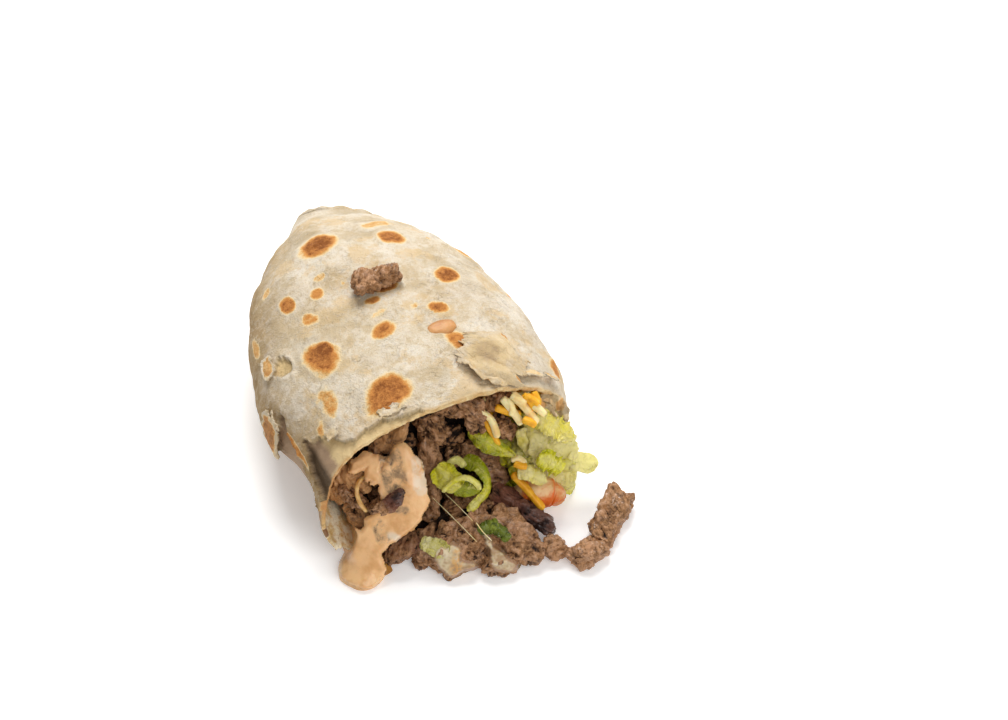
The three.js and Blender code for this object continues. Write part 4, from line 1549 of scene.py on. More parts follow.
# Chunks with shade above 0 are painted darker as painted shade, and those below 0 lighter as painted light.
STEAK = {
    "on_top": Chunk((-11.4, 60, 59.2), (-8.2, 60.2, 59.2), 9, 7.6, 10, shade=-0.1),
    "top_back": Chunk((3, 11, 42), (11, 8, 41), 8, 7, 20, shade=0.15),
    "top_middle": Chunk((13, 8, 44), (15, 4, 35), 8, 7, 40),
    "top_right": Chunk((20, 8, 38.5), (26, 8, 43), 6, 5, 10),
    "under_rim": Chunk((-3, 13, 38.6), (0, 7, 32.6), 10.5, 8.5, -20, shade=0.15),
    "upright": Chunk((-3, 7, 33), (-7, -9, 9), 8, 7, 15, shade=-0.25),
    "inner_left": Chunk((2, 10, 28), (8, 8, 27), 8, 7, 0, shade=0.7),
    "inner_middle": Chunk((2, 6, 20), (7, 4, 20), 7, 7, 30, shade=0.45),
    "inner_right": Chunk((10, 5, 22), (15, 4, 22), 7, 6, -25, shade=0.3),
    "right_inner": Chunk((16, 2, 20), (20, -5, 11), 9, 8, 30, char=0.25),
    "right_upper": Chunk((22, 5, 33), (26, 2, 29), 6, 6, 15),
    "curl_upper": Chunk((-34, 5, 28), (-37, 1, 18), 8, 7, 0, coat=0.75),
    "curl_lower": Chunk((-33, -2, 15), (-30, -8, 9), 9, 8, 30, coat=0.5),
    "pointed": Chunk((-27.5, -10.5, 20.5), (-18.5, -12.5, 27.6), 7.4, 5.4, -20, char=0.3, tip=0.8),
    "sauced": Chunk((-21, 9, 31), (-12, 9, 37), 10, 8, 10, coat=0.42, shade=-0.5),
    "middle_low": Chunk((0, -10, 9), (9, -9, 9), 9, 8, 20, shade=-0.4),
    "front_middle": Chunk((-4, -20, 7), (8, -22, 8), 12, 9, 25, shade=-0.15),
    "front_left": Chunk((-14, -18, 5), (-8, -27, 4), 9, 8, 0, shade=0.1),
    "front_low": Chunk((-4, -29, 3.4), (4, -28, 3.6), 8, 7, 0, shade=0.1),
    "front_slab": Chunk((15, -20, 11), (22, -33.5, 5), 13.5, 8, 20, square=0.2, shade=-0.1),
    "front_toe": Chunk((7, -33, 3.4), (14, -35, 3.6), 7, 7, 0),
    "charred": Chunk((16, -10, 13), (32, -27, 6), 8.5, 8, -30, char=0.8, tip=0.5),
    "dark_left": Chunk((-25, -19, 5), (-17, -18, 8), 10, 9, 15, char=0.3),
    "link": Chunk((29.5, -32, 4), (32.6, -36, 3.6), 8, 7, 0, shade=-0.4),
    "bend": Chunk((38, -40, 4), (45, -37, 3.6), 9, 7, 0, shade=-0.5),
    "stray": Chunk((48, -33, 3.6), (61, -19, 4.4), 10.5, 6.5, 8, square=1.0, shade=-0.1),
}
# Further lumps of the same pieces.
STEAK_LUMPS = {
    "on_top": (
        Chunk((-3.4, 61.4, 58.8), (1.4, 62.2, 58.8), 7.2, 6.6, -10),
        Chunk((-7.4, 60.2, 58.7), (-3.4, 61.0, 58.5), 7.6, 6.4, 35),
    ),
    "curl_upper": (
        Chunk((-33.1, 2.2, 28.2), (-27.8, -2.8, 24.7), 5.6, 4.6, 20, coat=0.75),
        Chunk((-36.1, -0.3, 24.5), (-32.5, -5.9, 20.8), 5.4, 4.4, -20, coat=0.2, char=0.2),
    ),
}


# --- leaves and shreds


@dataclass(frozen=True)
class Leaf:
    """A leaf: a band along its middle line that cups and ruffles towards both edges."""

    line: tuple[Point, ...]  # points of its middle line
    facing: Point  # where its upper face looks
    widths: tuple[float, float, float]  # at its start, middle and end
    ruffle: float  # height of its ruffle
    waves: int  # how many waves it has
    frill: float = 0.7  # height of the pleats along its edge
    green: float = 0.3  # how far from the rib's pale colour the whole leaf is
    crumple: float = 0.5  # height of its creases
    ribbed: float = 0.35  # how strong its veins are
    fade: float = 0.0  # how much greener its start is than its end
    pitch: float = 4.2  # length of a pleat
    ends: int = 18  # how square its ends are

    def shell(self, seed: int, rows: int = 110, columns: int = 56, thick: float = 0.34) -> Shell:
        """Its surface.

        Across the band each row bows down as the square of its distance from the middle line and
        waves along its edges. The frill is a row of uneven pleats that grow towards the edges, where
        they notch the outline, and creased noise crumples the whole leaf.

        Args:
            seed: of its noise.
            rows, columns: of its grid.
            thick: its thickness.

        Returns:
            A closed body with its marks.
        """
        noise = Noise(300 + seed)
        path, width = Path(self.line), Course(list(zip((0.0, 0.5, 1.0), self.widths)))
        u, v = np.meshgrid(np.linspace(-1, 1, columns), np.linspace(0, 1, rows))
        length = float(np.linalg.norm(np.diff(path.at(np.linspace(0, 1, 30)), axis=0), axis=1).sum())
        plane = np.stack([u * self.widths[1] / 2, v * length, 0 * u + seed], -1)
        jagged = noise.rough(plane * (0.2, 1, 1), 4.0, 4, 0.6)
        blunt = np.clip(1 - np.abs(2 * v - 1) ** self.ends, 0.05, 1) ** 0.5
        middle = path.at(v + 0.05 * jagged * np.abs(2 * v - 1) ** 3)
        tangent = unit(path.run(v))
        out = unit(np.cross(self.facing, tangent))
        lift = np.cross(tangent, out)
        teeth = noise.creased(plane * (0.05, 1, 1) + 57, self.pitch, 3)
        half = width(v) / 2 * (1 + 0.1 * jagged - 0.3 * self.frill * teeth) * blunt
        wave = np.sin(2 * np.pi * self.waves * v + 1.5 * u)
        rim = np.abs(u)
        height = self.ruffle * (wave * rim - u * u)
        pleats = noise.creased(plane * (0.3, 1, 1) + 31, self.pitch, 2)
        height += 1.5 * self.frill * pleats * ease((rim - 0.05) / 0.8)
        height += self.crumple * (noise.creased(plane * (1, 0.7, 1), 6.0, 2)
                                  + 0.4 * noise.rough(plane, 4.0, 2))
        veins = np.exp(-((np.abs(noise.at(plane * (1, 0.6, 1) + 13, 4.0)) / 0.12) ** 2))
        vein = self.ribbed * np.clip(np.exp(-((u * half / 0.7) ** 2)) + 0.6 * veins * (1 - rim), 0, 1)
        point = middle + out * (u * half)[..., None] + lift * (height + 0.18 * vein)[..., None]
        point[..., 2] = np.maximum(point[..., 2], 0.3)
        edge = self.green + 0.2 * ease((rim - 0.1) / 0.85) + self.fade * (1 - 2 * v)
        # Uneven tone, and paler on the pleats' ridges as painted light and greener in their folds as painted
        # shade.
        edge += 0.3 * noise.rough(plane, 6.0, 3) - 0.3 * self.frill * pleats
        thickness = thick * (1.25 - 0.85 * rim**2)
        return sheet(point, {"edge": edge, "vein": vein}).thickened(thickness.ravel())


LETTUCE = {
    "leaf": (
        Leaf(((11.2, 4.7, 31.9), (17.6, -1, 28.8), (24.8, -5.9, 25.2)), (-0.3, -0.5, 0.8),
             (3.2, 7.6, 2.6), 0.7, 1, 0.2, 0.6, 0.9, 0.3, pitch=3.6),
    ),
    "curl": (
        Leaf(((-2.7, -3.4, 26.5), (-0.4, -7.6, 24.4), (3.5, -10.5, 21.4)), (-0.1, -0.8, 0.6),
             (7.5, 10, 8.5), 0.5, 1, 0.4, 0.3, 1.3, 0.6, pitch=3.4),
        Leaf(((-3.8, -11.5, 21.9), (-0.3, -10.8, 24.8), (4.2, -10.6, 26.2), (8, -12.4, 25.1),
              (10.1, -14.1, 21.5)), (-0.1, -0.3, 0.9), (1.6, 2.2, 1.8), 0.3, 1, 0.2, 0.05, 0.4, 0.2),
        Leaf(((1.4, -10, 19.9), (5.9, -10.9, 20.4), (10.4, -11.8, 20.2)), (-0.1, -0.6, 0.8),
             (5.0, 6.0, 4.4), 0.4, 1, 0.2, 0.8, 0.5, 0.2),
        Leaf(((1.5, -2.6, 25.7), (4.9, -2.6, 26.6), (7.1, -4.9, 24.5)), (-0.1, -0.6, 0.8),
             (2.4, 3.2, 2.4), 0.4, 1, 0.2, 0.0, 0.4, 0.2),
    ),
    "dark": (
        Leaf(((7.6, -0.8, 24.1), (11.7, -5.5, 24), (13.3, -10.7, 21.3), (12, -13.7, 19), (8, -15.5, 17.1),
              (4.5, -16.5, 14.5)), (0.1, -0.6, 0.8), (6.2, 3.6, 3.4), 0.5, 1, 0.3, 0.7, 0.5, 0.2, 0.2,
             pitch=3.0),
    ),
    "frill": (
        Leaf(((34.1, 4.1, 35.7), (38.3, -1.4, 29.5), (40.3, -5.6, 22.4), (41.1, -9.1, 14.9),
              (41.5, -12.8, 7.8)), (0.1, -0.7, 0.7), (9, 19, 9), 0.9, 1, 0.25, -0.15, 0.45, 0.15, 0.1,
             pitch=6.0),
        Leaf(((34.6, 0.3, 36), (39.1, -2.2, 33.7), (43.4, -4.7, 30.7), (45.8, -6.9, 26.9)), (0.1, -0.6, 0.8),
             (6.0, 9.4, 5.0), 0.5, 1, 0.75, 0.35, 0.5, 0.1, pitch=2.4),
    ),
    "lobe": (
        Leaf(((43.8, -7.9, 18.1), (49.3, -9.2, 16.4), (54.5, -10.7, 14.6)), (0, -0.6, 0.8),
             (7.0, 7.4, 7.0), 0.4, 1, 0.1, -0.2, 0.3, 0.2, ends=4),
    ),
    "tuft": (
        Leaf(((32.7, -9.2, 26), (36.3, -11.7, 24.2), (40.1, -13.8, 20.7)), (-0.2, -0.7, 0.7),
             (6, 8.4, 7), 0.4, 1, 0.7, 0.4, 0.6, 0.1, pitch=2.2),
    ),
    "ruffle": (
        Leaf(((24.7, -11, 22.2), (29.3, -13, 21.8), (33.3, -15.5, 18.7)), (0, -0.5, 0.9),
             (5, 6, 4), 0.5, 1, 0.6, 0.2, 0.6, 0.1, pitch=2.6),
    ),
    "rib": (
        Leaf(((29, 1, 31), (32, -3, 25), (35, -5, 19)), (0, -0.8, 0.5),
             (4, 7, 5), 0.3, 1, 0.2, 0.1, 0.4, 0.8),
    ),
    "scrap": (
        Leaf(((-15, -22, 12), (-10, -26, 11), (-6, -29, 9.5)), (-0.3, -0.5, 0.8), (4.4, 6.6, 5), 0.4, 1, 0.6,
             0.35, 0.9, 0.1, pitch=3.0),
    ),
}
PALE_LEAVES = ("frill", "lobe", "ruffle", "rib")
CILANTRO = (
    Leaf(((5.4, -25.4, 14.0), (9, -26, 15.2), (12.6, -25.6, 15.4)), (-0.2, -0.5, 0.8), (3.5, 5, 4), 0.4, 2,
         0.6, 0.5, 0.6, pitch=2.4),
    Leaf(((9.8, -26, 15.0), (12.6, -28.6, 14.8), (14.4, -31.4, 12.8)), (-0.2, -0.5, 0.8), (4, 4.6, 3), 0.4,
         1, 0.6, 0.5, 0.6, pitch=2.4),
)


@dataclass(frozen=True)
class Shred:
    """A shred of cheese: a small rounded rectangle carried along its middle line."""

    line: tuple[Point, ...]
    wide: float = 2.9
    thick: float = 2.2

    def shell(self, seed: int, rows: int = 34, around: int = 20) -> Shell:
        """Its surface: a squared circle, a little wider and narrower along the line, blunt at both ends.

        Args:
            seed: of its noise.
            rows, around: of its grid.

        Returns:
            The closed body.
        """
        noise = Noise(500 + seed)
        v, turn = tube_grid(0, 1, rows, around)
        centre, side, up = Path(self.line).section(v, (0.2, 0.3, 1.0))
        c, s = np.cos(turn), np.sin(turn)
        square = (np.abs(c) ** 3.4 + np.abs(s) ** 3.4) ** (-1 / 3.4)
        blunt = np.clip(1 - np.abs(2 * v - 1) ** 14, 0, 1) ** 0.5
        size = square * blunt * (1 + 0.07 * noise.rough(centre, 5.0, 2))
        place = centre + side * (c * size * self.wide / 2)[..., None]
        place = place + up * (s * size * self.thick / 2)[..., None]
        place += 0.05 * noise.rough(place, 2.0, 2)[..., None] * side
        place[..., 2] = np.maximum(place[..., 2], 0.1)
        return pod(place)


LONG_SHRED = Shred(((23.1, -9.1, 20.1), (27.2, -14.7, 15.4), (31.2, -20.9, 10.1)), 3.0, 2.4)
YELLOW_SHREDS = (
    Shred(((21, 4, 42), (25, 2, 40.5), (29.6, 0.6, 38.6)), 3.0, 2.4),
    Shred(((31, 3, 46), (33.2, 1.4, 43.6), (34.6, -0.4, 40.6)), 2.8, 2.2),
    Shred(((17, 4, 37), (18.5, 1.5, 33), (20.9, -1.9, 27.9)), 2.2, 1.8),
    Shred(((35.4, 5, 44), (36, 2, 42), (35, 0.5, 40)), 2.8, 2.2),
)
WHITE_SHREDS = (
    Shred(((24, 5, 45), (26.1, 2, 42), (28.9, -2.6, 36.9)), 2.8, 2.4),
    Shred(((28, 4, 45), (31.1, 0.4, 42), (34.2, -4.0, 37.2)), 2.9, 2.4),
    Shred(((15.5, 5, 41), (19.1, 2.4, 37.6), (20.4, -1.8, 31.8)), 2.6, 2.2),
)
# Smaller shreds of the same tangle.
PALE_TANGLE = (
    Shred(((27.4, 4.4, 46.2), (29.2, 2.1, 45.4), (31.3, 0.4, 43.9)), 3.2, 2.4),
    Shred(((25.7, 4.5, 44.5), (26.4, 1.2, 42.6), (25.9, -0.4, 40.3)), 2.4, 2.0),
    Shred(((33.7, 1.0, 42.4), (35.9, -1.4, 41.0), (37.5, -2.3, 39.3)), 3.0, 2.2),
    Shred(((23.6, -6.4, 23.9), (26.1, -7.0, 24.7), (28.4, -9.0, 22.9)), 3.2, 1.6),
)
YELLOW_TANGLE = (
    Shred(((29.1, -3.0, 40.4), (31.1, -4.8, 40.1), (32.7, -5.4, 38.6)), 3.0, 2.4),
    Shred(((32.1, 3.0, 45.0), (33.8, 1.3, 44.7), (35.8, -0.4, 43.1)), 3.0, 2.2),
    Shred(((24.5, -8.1, 23.9), (25.9, -9.5, 23.8), (28.3, -10.2, 23.2)), 3.4, 2.2),
)
CURL_EDGE = Shred(((-27.8, -1.4, 29.3), (-30.9, -3, 28.4), (-32.4, -5.4, 26.3), (-32.2, -8.3, 23.5),
                   (-30.5, -11, 21)), 1.5, 1.3)
PEPPER = Shred(((-30.2, -20.4, 6.9), (-28.6, -23.1, 5.1), (-27.6, -25.9, 3)), 4.6, 2.0)
# Strings that melted cheese draws over the heap.
STRINGS = (
    Shred(((-6.4, -8.8, 17.5), (-1.1, -18.7, 14.7), (3.9, -28.7, 12.0)), 0.24, 0.24),
    Shred(((-1.6, -8.6, 17.6), (1.5, -15.4, 16.9), (4.5, -22.2, 15.7)), 0.22, 0.22),
    Shred(((8.6, -31.0, 13.6), (6.6, -28.0, 15.4), (5.0, -24.1, 17.1)), 0.34, 0.3),
)


# --- loose skin, shrimp, sauce and core


@dataclass(frozen=True)
class Peel:
    """A piece of the outer layer that has come loose and stands off the roll."""

    angle: float  # where its middle is round the roll, in degrees
    station: float  # and along it
    around: float  # half its size round the roll, in degrees
    along: float  # and along it
    stands: tuple[float, float]  # how far it stands off at its cut side and at its far side
    toast: float = 0.0  # how browned its middle is
    ragged: float = 0.3  # how uneven its outline is

    def shell(self, roll: Roll, seed: int) -> Shell:
        """A thin sheet with a ragged outline that follows the roll at a growing distance.

        Args:
            roll: what it has come off.
            seed: of its noise.

        Returns:
            A closed body with its marks.
        """
        noise = Noise(700 + seed)
        u, v = np.meshgrid(np.linspace(-1.15, 1.15, 72), np.linspace(-1.15, 1.15, 72))
        flat = np.stack([u * self.around * 0.8, v * self.along, 0 * u + seed], -1)
        inside = 1 - (np.abs(u) ** 3 + np.abs(v) ** 3) ** (1 / 3)
        inside += self.ragged * noise.rough(flat, 2.6, 4, 0.65)
        stands = mix(self.stands[0], self.stands[1], ease(v / 2.3 + 0.5)) + 0.35 * noise.rough(flat, 3.0, 2)
        stands += 0.5 * ease(1 - inside / 0.3) * np.abs(noise.at(flat + 5, 2.4))
        station = self.station + v * self.along
        grid = roll.surface(roll.along(station), self.angle + u * self.around, -stands)
        marks = {"toast": self.toast * ease((inside - 0.1) / 0.3), "bare": 0.0 * u + 0.15}
        return sheet(grid, marks, inside > 0).thickened(0.5)


PEELS = (
    Peel(176, 28.0, 15, 6.6, (2.0, 0.6), 0.85, 0.1),
    Peel(149, 46, 4.6, 4.8, (0.9, 1.7), 0.5, 0.16),
    Peel(110, 0.5, 6.0, 2.4, (1.0, 0.7)),
    Peel(139, 5.5, 3.4, 2.2, (1.1, 0.4)),
    Peel(46, 1.2, 7.0, 2.6, (1.6, 0.3), 0.3),
    Peel(34, 1.6, 5.0, 2.4, (1.9, 0.4), 0.4),
)
# Crumbling inner edge of the wrap at the right end of the cut.
RIM_CRUMBS = (
    Leaf(((38.5, 5.4, 40.1), (42.6, 4, 38), (45.2, 1.8, 34.8), (46, -0.5, 31.1)), (-0.3, -0.7, 0.6),
         (3.0, 4.6, 3.4), 0.5, 1, 0.5, pitch=3.0),
    Leaf(((36.2, 3.9, 38.9), (39.4, 2.4, 37.1), (42.5, 0.3, 33.5)), (-0.3, -0.7, 0.6), (3.0, 4.0, 2.4),
         0.5, 1, 0.6, pitch=2.6),
)


def torn_edge(leaf: Leaf, seed: int) -> Shell:
    """A crumbling strip of tortilla, browned here and there.

    Args:
        leaf: its form.
        seed: of its noise.

    Returns:
        A closed body with its marks.
    """
    shell = leaf.shell(80 + seed, 70, 36, 0.9)
    noise = Noise(777 + seed)
    toast = 0.7 * ease((noise.at(shell.points, 3.0) + 0.1) / 0.4)
    bumpy = shell.points + 0.35 * noise.rough(shell.points, 1.8, 3)[:, None]
    deep = 0.5 * ease((0.1 - noise.at(shell.points + 40, 2.6)) / 0.3)
    return Shell(bumpy, shell.quads, {"toast": toast, "moist": 0.0 * toast + 0.5, "deep": deep})


@dataclass(frozen=True)
class Shrimp:
    """A cooked shrimp: a ringed body that tapers along its curled middle line."""

    line: tuple[Point, ...] = ((24, -8, 9), (31, -12.5, 11), (37, -14, 8), (38, -16, 4.5))
    radii: tuple[float, ...] = (4, 5.5, 4.8, 2.6)

    def shell(self, rows: int = 90, around: int = 72) -> Shell:
        """Its surface: rings overlap like plates, with a step at the end of each.

        Args:
            rows, around: of its grid.

        Returns:
            The closed body with its mark.
        """
        noise = Noise(61)
        radius = Course([(i / (len(self.radii) - 1), r) for i, r in enumerate(self.radii)])
        v, turn = tube_grid(0, 1, rows, around)
        centre, side, up = Path(self.line).section(v, (0.1, 0.2, 1.0))
        ring = (v * 3.6 + 0.05 * np.sin(2 * turn)) % 1.0
        plate = 0.09 * ring - 0.16 * np.exp(-((np.minimum(ring, 1 - ring) / 0.07) ** 2))
        blunt = np.sqrt(np.clip(1 - np.abs(2 * v - 1) ** 6, 0, 1))
        size = radius(v) * blunt * (1 + plate + 0.06 * noise.rough(centre + side * 3, 4.0, 3))
        place = centre + side * (np.cos(turn) * size)[..., None]
        place = place + up * (np.sin(turn) * size * 0.95)[..., None]
        place += 0.18 * noise.rough(place, 1.4, 3)[..., None] * up
        place[..., 2] = np.maximum(place[..., 2], 0.1)
        band = 0.5 * np.exp(-(((ring - 0.93) / 0.1) ** 2)) + 0.62 * ease((np.cos(turn + 0.7) - 0.1) / 0.8)
        return pod(place, {"band": band + 0.35 * ease((v - 0.35) / 0.3) + 0.08})


@dataclass(frozen=True)
class Puddle:
    """A round of thick sauce that stands up from where it lies."""

    centre: Point
    across: float
    along: float
    high: float

    def shell(self, seed: int, rings: int = 48, around: int = 90) -> Shell:
        """Its surface: an ellipse that rises steeply at its edge and is flat underneath.

        Args:
            seed: of its outline.
            rings, around: of its grid.

        Returns:
            The closed body with its mark.
        """
        noise = Noise(800 + seed)
        polar, turn = tube_grid(0, np.pi, rings, around)
        c, s = np.cos(turn), np.sin(turn)
        flat = np.stack([3 * c, 3 * s, 0 * c + seed], -1)
        size = np.sin(polar) ** 0.8 * (1 + 0.07 * noise.rough(flat, 2.6, 2))
        x, y = self.centre[0] + c * size * self.across / 2, self.centre[1] + s * size * self.along / 2
        z = self.centre[2] + self.high * np.clip(np.cos(polar), 0, 1) ** 0.75 - 0.5 * (self.centre[2] > 0)
        return pod(np.stack([x, y, z + 0.05], -1), {"thin": -0.6 + 0 * x})


@dataclass(frozen=True)
class Stroke:
    """A round-ended line in the plane of a drape, with its radius at both ends."""

    start: tuple[float, float]
    end: tuple[float, float]
    radii: tuple[float, float]

    def inside(self, a: Array, b: Array) -> Array:
        """Distance inside its edge, negative outside.

        Args:
            a, b: places in the plane.

        Returns:
            The distances.
        """
        run = np.subtract(self.end, self.start)
        t = ((a - self.start[0]) * run[0] + (b - self.start[1]) * run[1]) / max(float(run @ run), 1e-6)
        t = np.clip(t, 0, 1)
        away = np.hypot(a - self.start[0] - t * run[0], b - self.start[1] - t * run[1])
        return mix(self.radii[0], self.radii[1], t) - away


def covered(strokes: Sequence[Stroke], a: Array, b: Array) -> Array:
    """Distance inside the union of strokes."""
    return np.max([stroke.inside(a, b) for stroke in strokes], axis=0) if strokes else 0 * a - 99.0


@dataclass(frozen=True)
class Drape:
    """Something thick that was poured over the heap and sags into its gaps.

    It is a height over a plane that leans back like the heap's front: `a` runs to the right in it and `b`
    up the slope.
    """

    strokes: tuple[Stroke, ...]  # what it covers
    holes: tuple[Stroke, ...] = ()  # where it has parted
    thin: tuple[Stroke, ...] = ()  # where it is a thin film
    milk: tuple[Stroke, ...] = ()  # where it is whiter
    thick: float = 1.0  # its thickness
    rim: float = 0.0  # how thin it is along its edge
    bridges: float = 2.0  # width of the gaps that it spans
    soft: float = 0.8  # how far a blur rounds it
    slack: float = 99.0  # how far it may hang below the middle of what is near
    origin: Point = (-24.0, -8.0, 24.0)  # of the plane
    step: float = 0.32
    axes = np.array([[0.9511, -0.3090, 0.0], [0.2296, 0.7068, 0.6691], [-0.2068, -0.6364, 0.7431]])

    def shell(self, under: Sequence[Shell], seed: int) -> Shell:
        """Its closed surface.

        The points of what lies under it are sorted into the plane's grid and the highest are kept. The
        largest and then the smallest value nearby bridge the gaps, and a blur rounds the result. Towards
        the edge the sheet thins and sinks into what it lies on.

        Args:
            under: the surfaces that it lies on.
            seed: for its own unevenness.

        Returns:
            A closed body with its marks.
        """
        noise = Noise(900 + seed)
        ends = np.array([p for s in self.strokes for p in (s.start, s.end)])
        margin = max(max(s.radii) for s in self.strokes) + 4
        low, high = ends.min(0) - margin, ends.max(0) + margin
        a, b = np.meshgrid(np.arange(low[0], high[0], self.step), np.arange(low[1], high[1], self.step))
        origin = np.array(self.origin)
        floor = (0.15 - origin[2] - b * self.axes[1, 2]) / self.axes[2, 2]
        highest = np.full(a.shape, -99.0)
        for shell in under:
            local = (shell.points - origin) @ self.axes.T
            cell = np.round((local[:, :2] - low) / self.step).astype(int)
            fits = np.all((cell >= 0) & (cell < (a.shape[1], a.shape[0])), axis=1)
            np.maximum.at(highest, (cell[fits, 1], cell[fits, 0]), local[fits, 2])
        raw = spread(spread(highest, 1, np.maximum), 1, np.minimum)
        raw = np.maximum(np.where(raw < -90, floor, raw), floor)
        gap = int(self.bridges / self.step)
        sag = blurred(spread(spread(raw, gap, np.maximum), gap, np.minimum), self.soft / self.step)
        flat = np.stack([a, b, 0 * a + 5], -1)
        ragged = 0.55 * noise.rough(flat, 4.5, 3, 0.55)
        inside = np.minimum(covered(self.strokes, a, b) + ragged, -covered(self.holes, a, b) + 0.5 * ragged)
        keep = inside > -0.8
        cells = 3.0 / self.step
        middle = blurred(sag * keep, cells) / np.maximum(blurred(1.0 * keep, cells), 1e-3)
        sag, raw = np.maximum(sag, middle - self.slack), np.maximum(raw, middle - self.slack)
        body = np.clip((inside + 0.15) / 1.1, -0.8, 1.0)
        body = np.sign(body) * np.abs(body) ** 0.6
        body *= self.thick * (1 + 0.25 * noise.rough(flat, 5.0, 2))
        top = mix(raw, sag, ease((inside + 0.2) / 1.6)) + body
        grid = origin + np.stack([a, b, top], -1) @ self.axes
        grid[..., 2] = np.maximum(grid[..., 2], 0.1)
        steep = np.abs(np.gradient(top, self.step, axis=0)) + np.abs(np.gradient(top, self.step, axis=1))
        marks = {
            "thin": ease(covered(self.thin, a, b) / 2.5 + 0.5) + 0.25 * ease((steep - 1.2) / 1.5)
            + self.rim * (0.3 + 0.7 * ease(1 - inside / 1.2)),
            "milk": ease(covered(self.milk, a, b) / 1.5 + 0.5),
        }
        face = sheet(grid, marks, keep)
        lower = face.points - self.axes[2] * (self.thick + 0.8)
        lower[:, 2] = np.maximum(lower[:, 2], 0.05)
        back = replace(face, points=lower)
        return closed_between(face, back.turned())


SAUCE = Drape(
    strokes=(
        Stroke((6.8, 15.3), (6.8, 6.9), (3.2, 8.0)),
        Stroke((6.8, 6.9), (8.2, -1.4), (8.0, 7.2)),
        Stroke((8.2, -1.4), (7.4, -6.2), (7.2, 6.0)),
        Stroke((7.4, -6.2), (-1.5, -12.0), (6.0, 5.6)),
        Stroke((-1.5, -12.0), (-6.2, -18.5), (5.6, 5.2)),
        Stroke((-7.5, -13.5), (-8.5, -19.0), (4.0, 5.4)),
        Stroke((-6.2, -18.5), (-7.1, -24.2), (5.2, 8.2)),
        Stroke((-0.9, 11.8), (-5.8, 12.8), (1.8, 2.3)),
        Stroke((-5.8, 12.8), (-9.9, 10.4), (2.3, 2.0)),
        Stroke((-2.3, 11.8), (-3.0, 6.6), (2.6, 2.3)),
    ),
    holes=(
        Stroke((0.5, 11.4), (-0.5, 9.0), (0.7, 0.6)),
        Stroke((-4.4, 4.8), (-5.4, 2.4), (0.8, 1.0)),
        Stroke((-9.9, -2.5), (-8.2, -9.8), (2.8, 2.5)),
    ),
    thin=(Stroke((2.8, 13.5), (5.0, 4.4), (4.0, 4.2)), Stroke((-1.5, -9.9), (0.2, -14.6), (2.0, 2.4)),
          Stroke((4.4, -4.2), (8.0, -5.0), (1.2, 1.4))),
    milk=(Stroke((12.6, 12.6), (13.4, 2.7), (2.2, 2.4)), Stroke((3.0, -13.6), (5.2, -14.6), (1.2, 1.2))),
    thick=0.8, bridges=1.6, soft=0.6, slack=2.0,
)
PUDDLE = Puddle((-36, -19.5, 0), 16.7, 16.2, 4.5)
DROP = Puddle((11, 34, 55.3), 11, 7, 2.0)
MELT = Drape((), thick=0.4, rim=0.9, bridges=5.0, soft=1.2)
MELTS = {
    "left": replace(
        MELT,
        strokes=(
            Stroke((20.6, -21.0), (22.7, -23.5), (3.4, 3.8)),
            Stroke((24.4, -20.0), (24.4, -25.6), (3.2, 3.4)),
            Stroke((26.2, -24.9), (31.8, -24.5), (2.6, 1.2)),
        ),
        milk=(Stroke((26.5, -20.3), (25.5, -26.3), (2.0, 2.2)),),
    ),
    "right": replace(
        MELT,
        strokes=(
            Stroke((34.8, -11.9), (37.8, -18.2), (0.5, 1.2)),
            Stroke((37.8, -18.2), (40.9, -23.0), (1.2, 3.2)),
            Stroke((40.9, -23.0), (44.4, -24.8), (3.2, 2.6)),
        ),
    ),
}


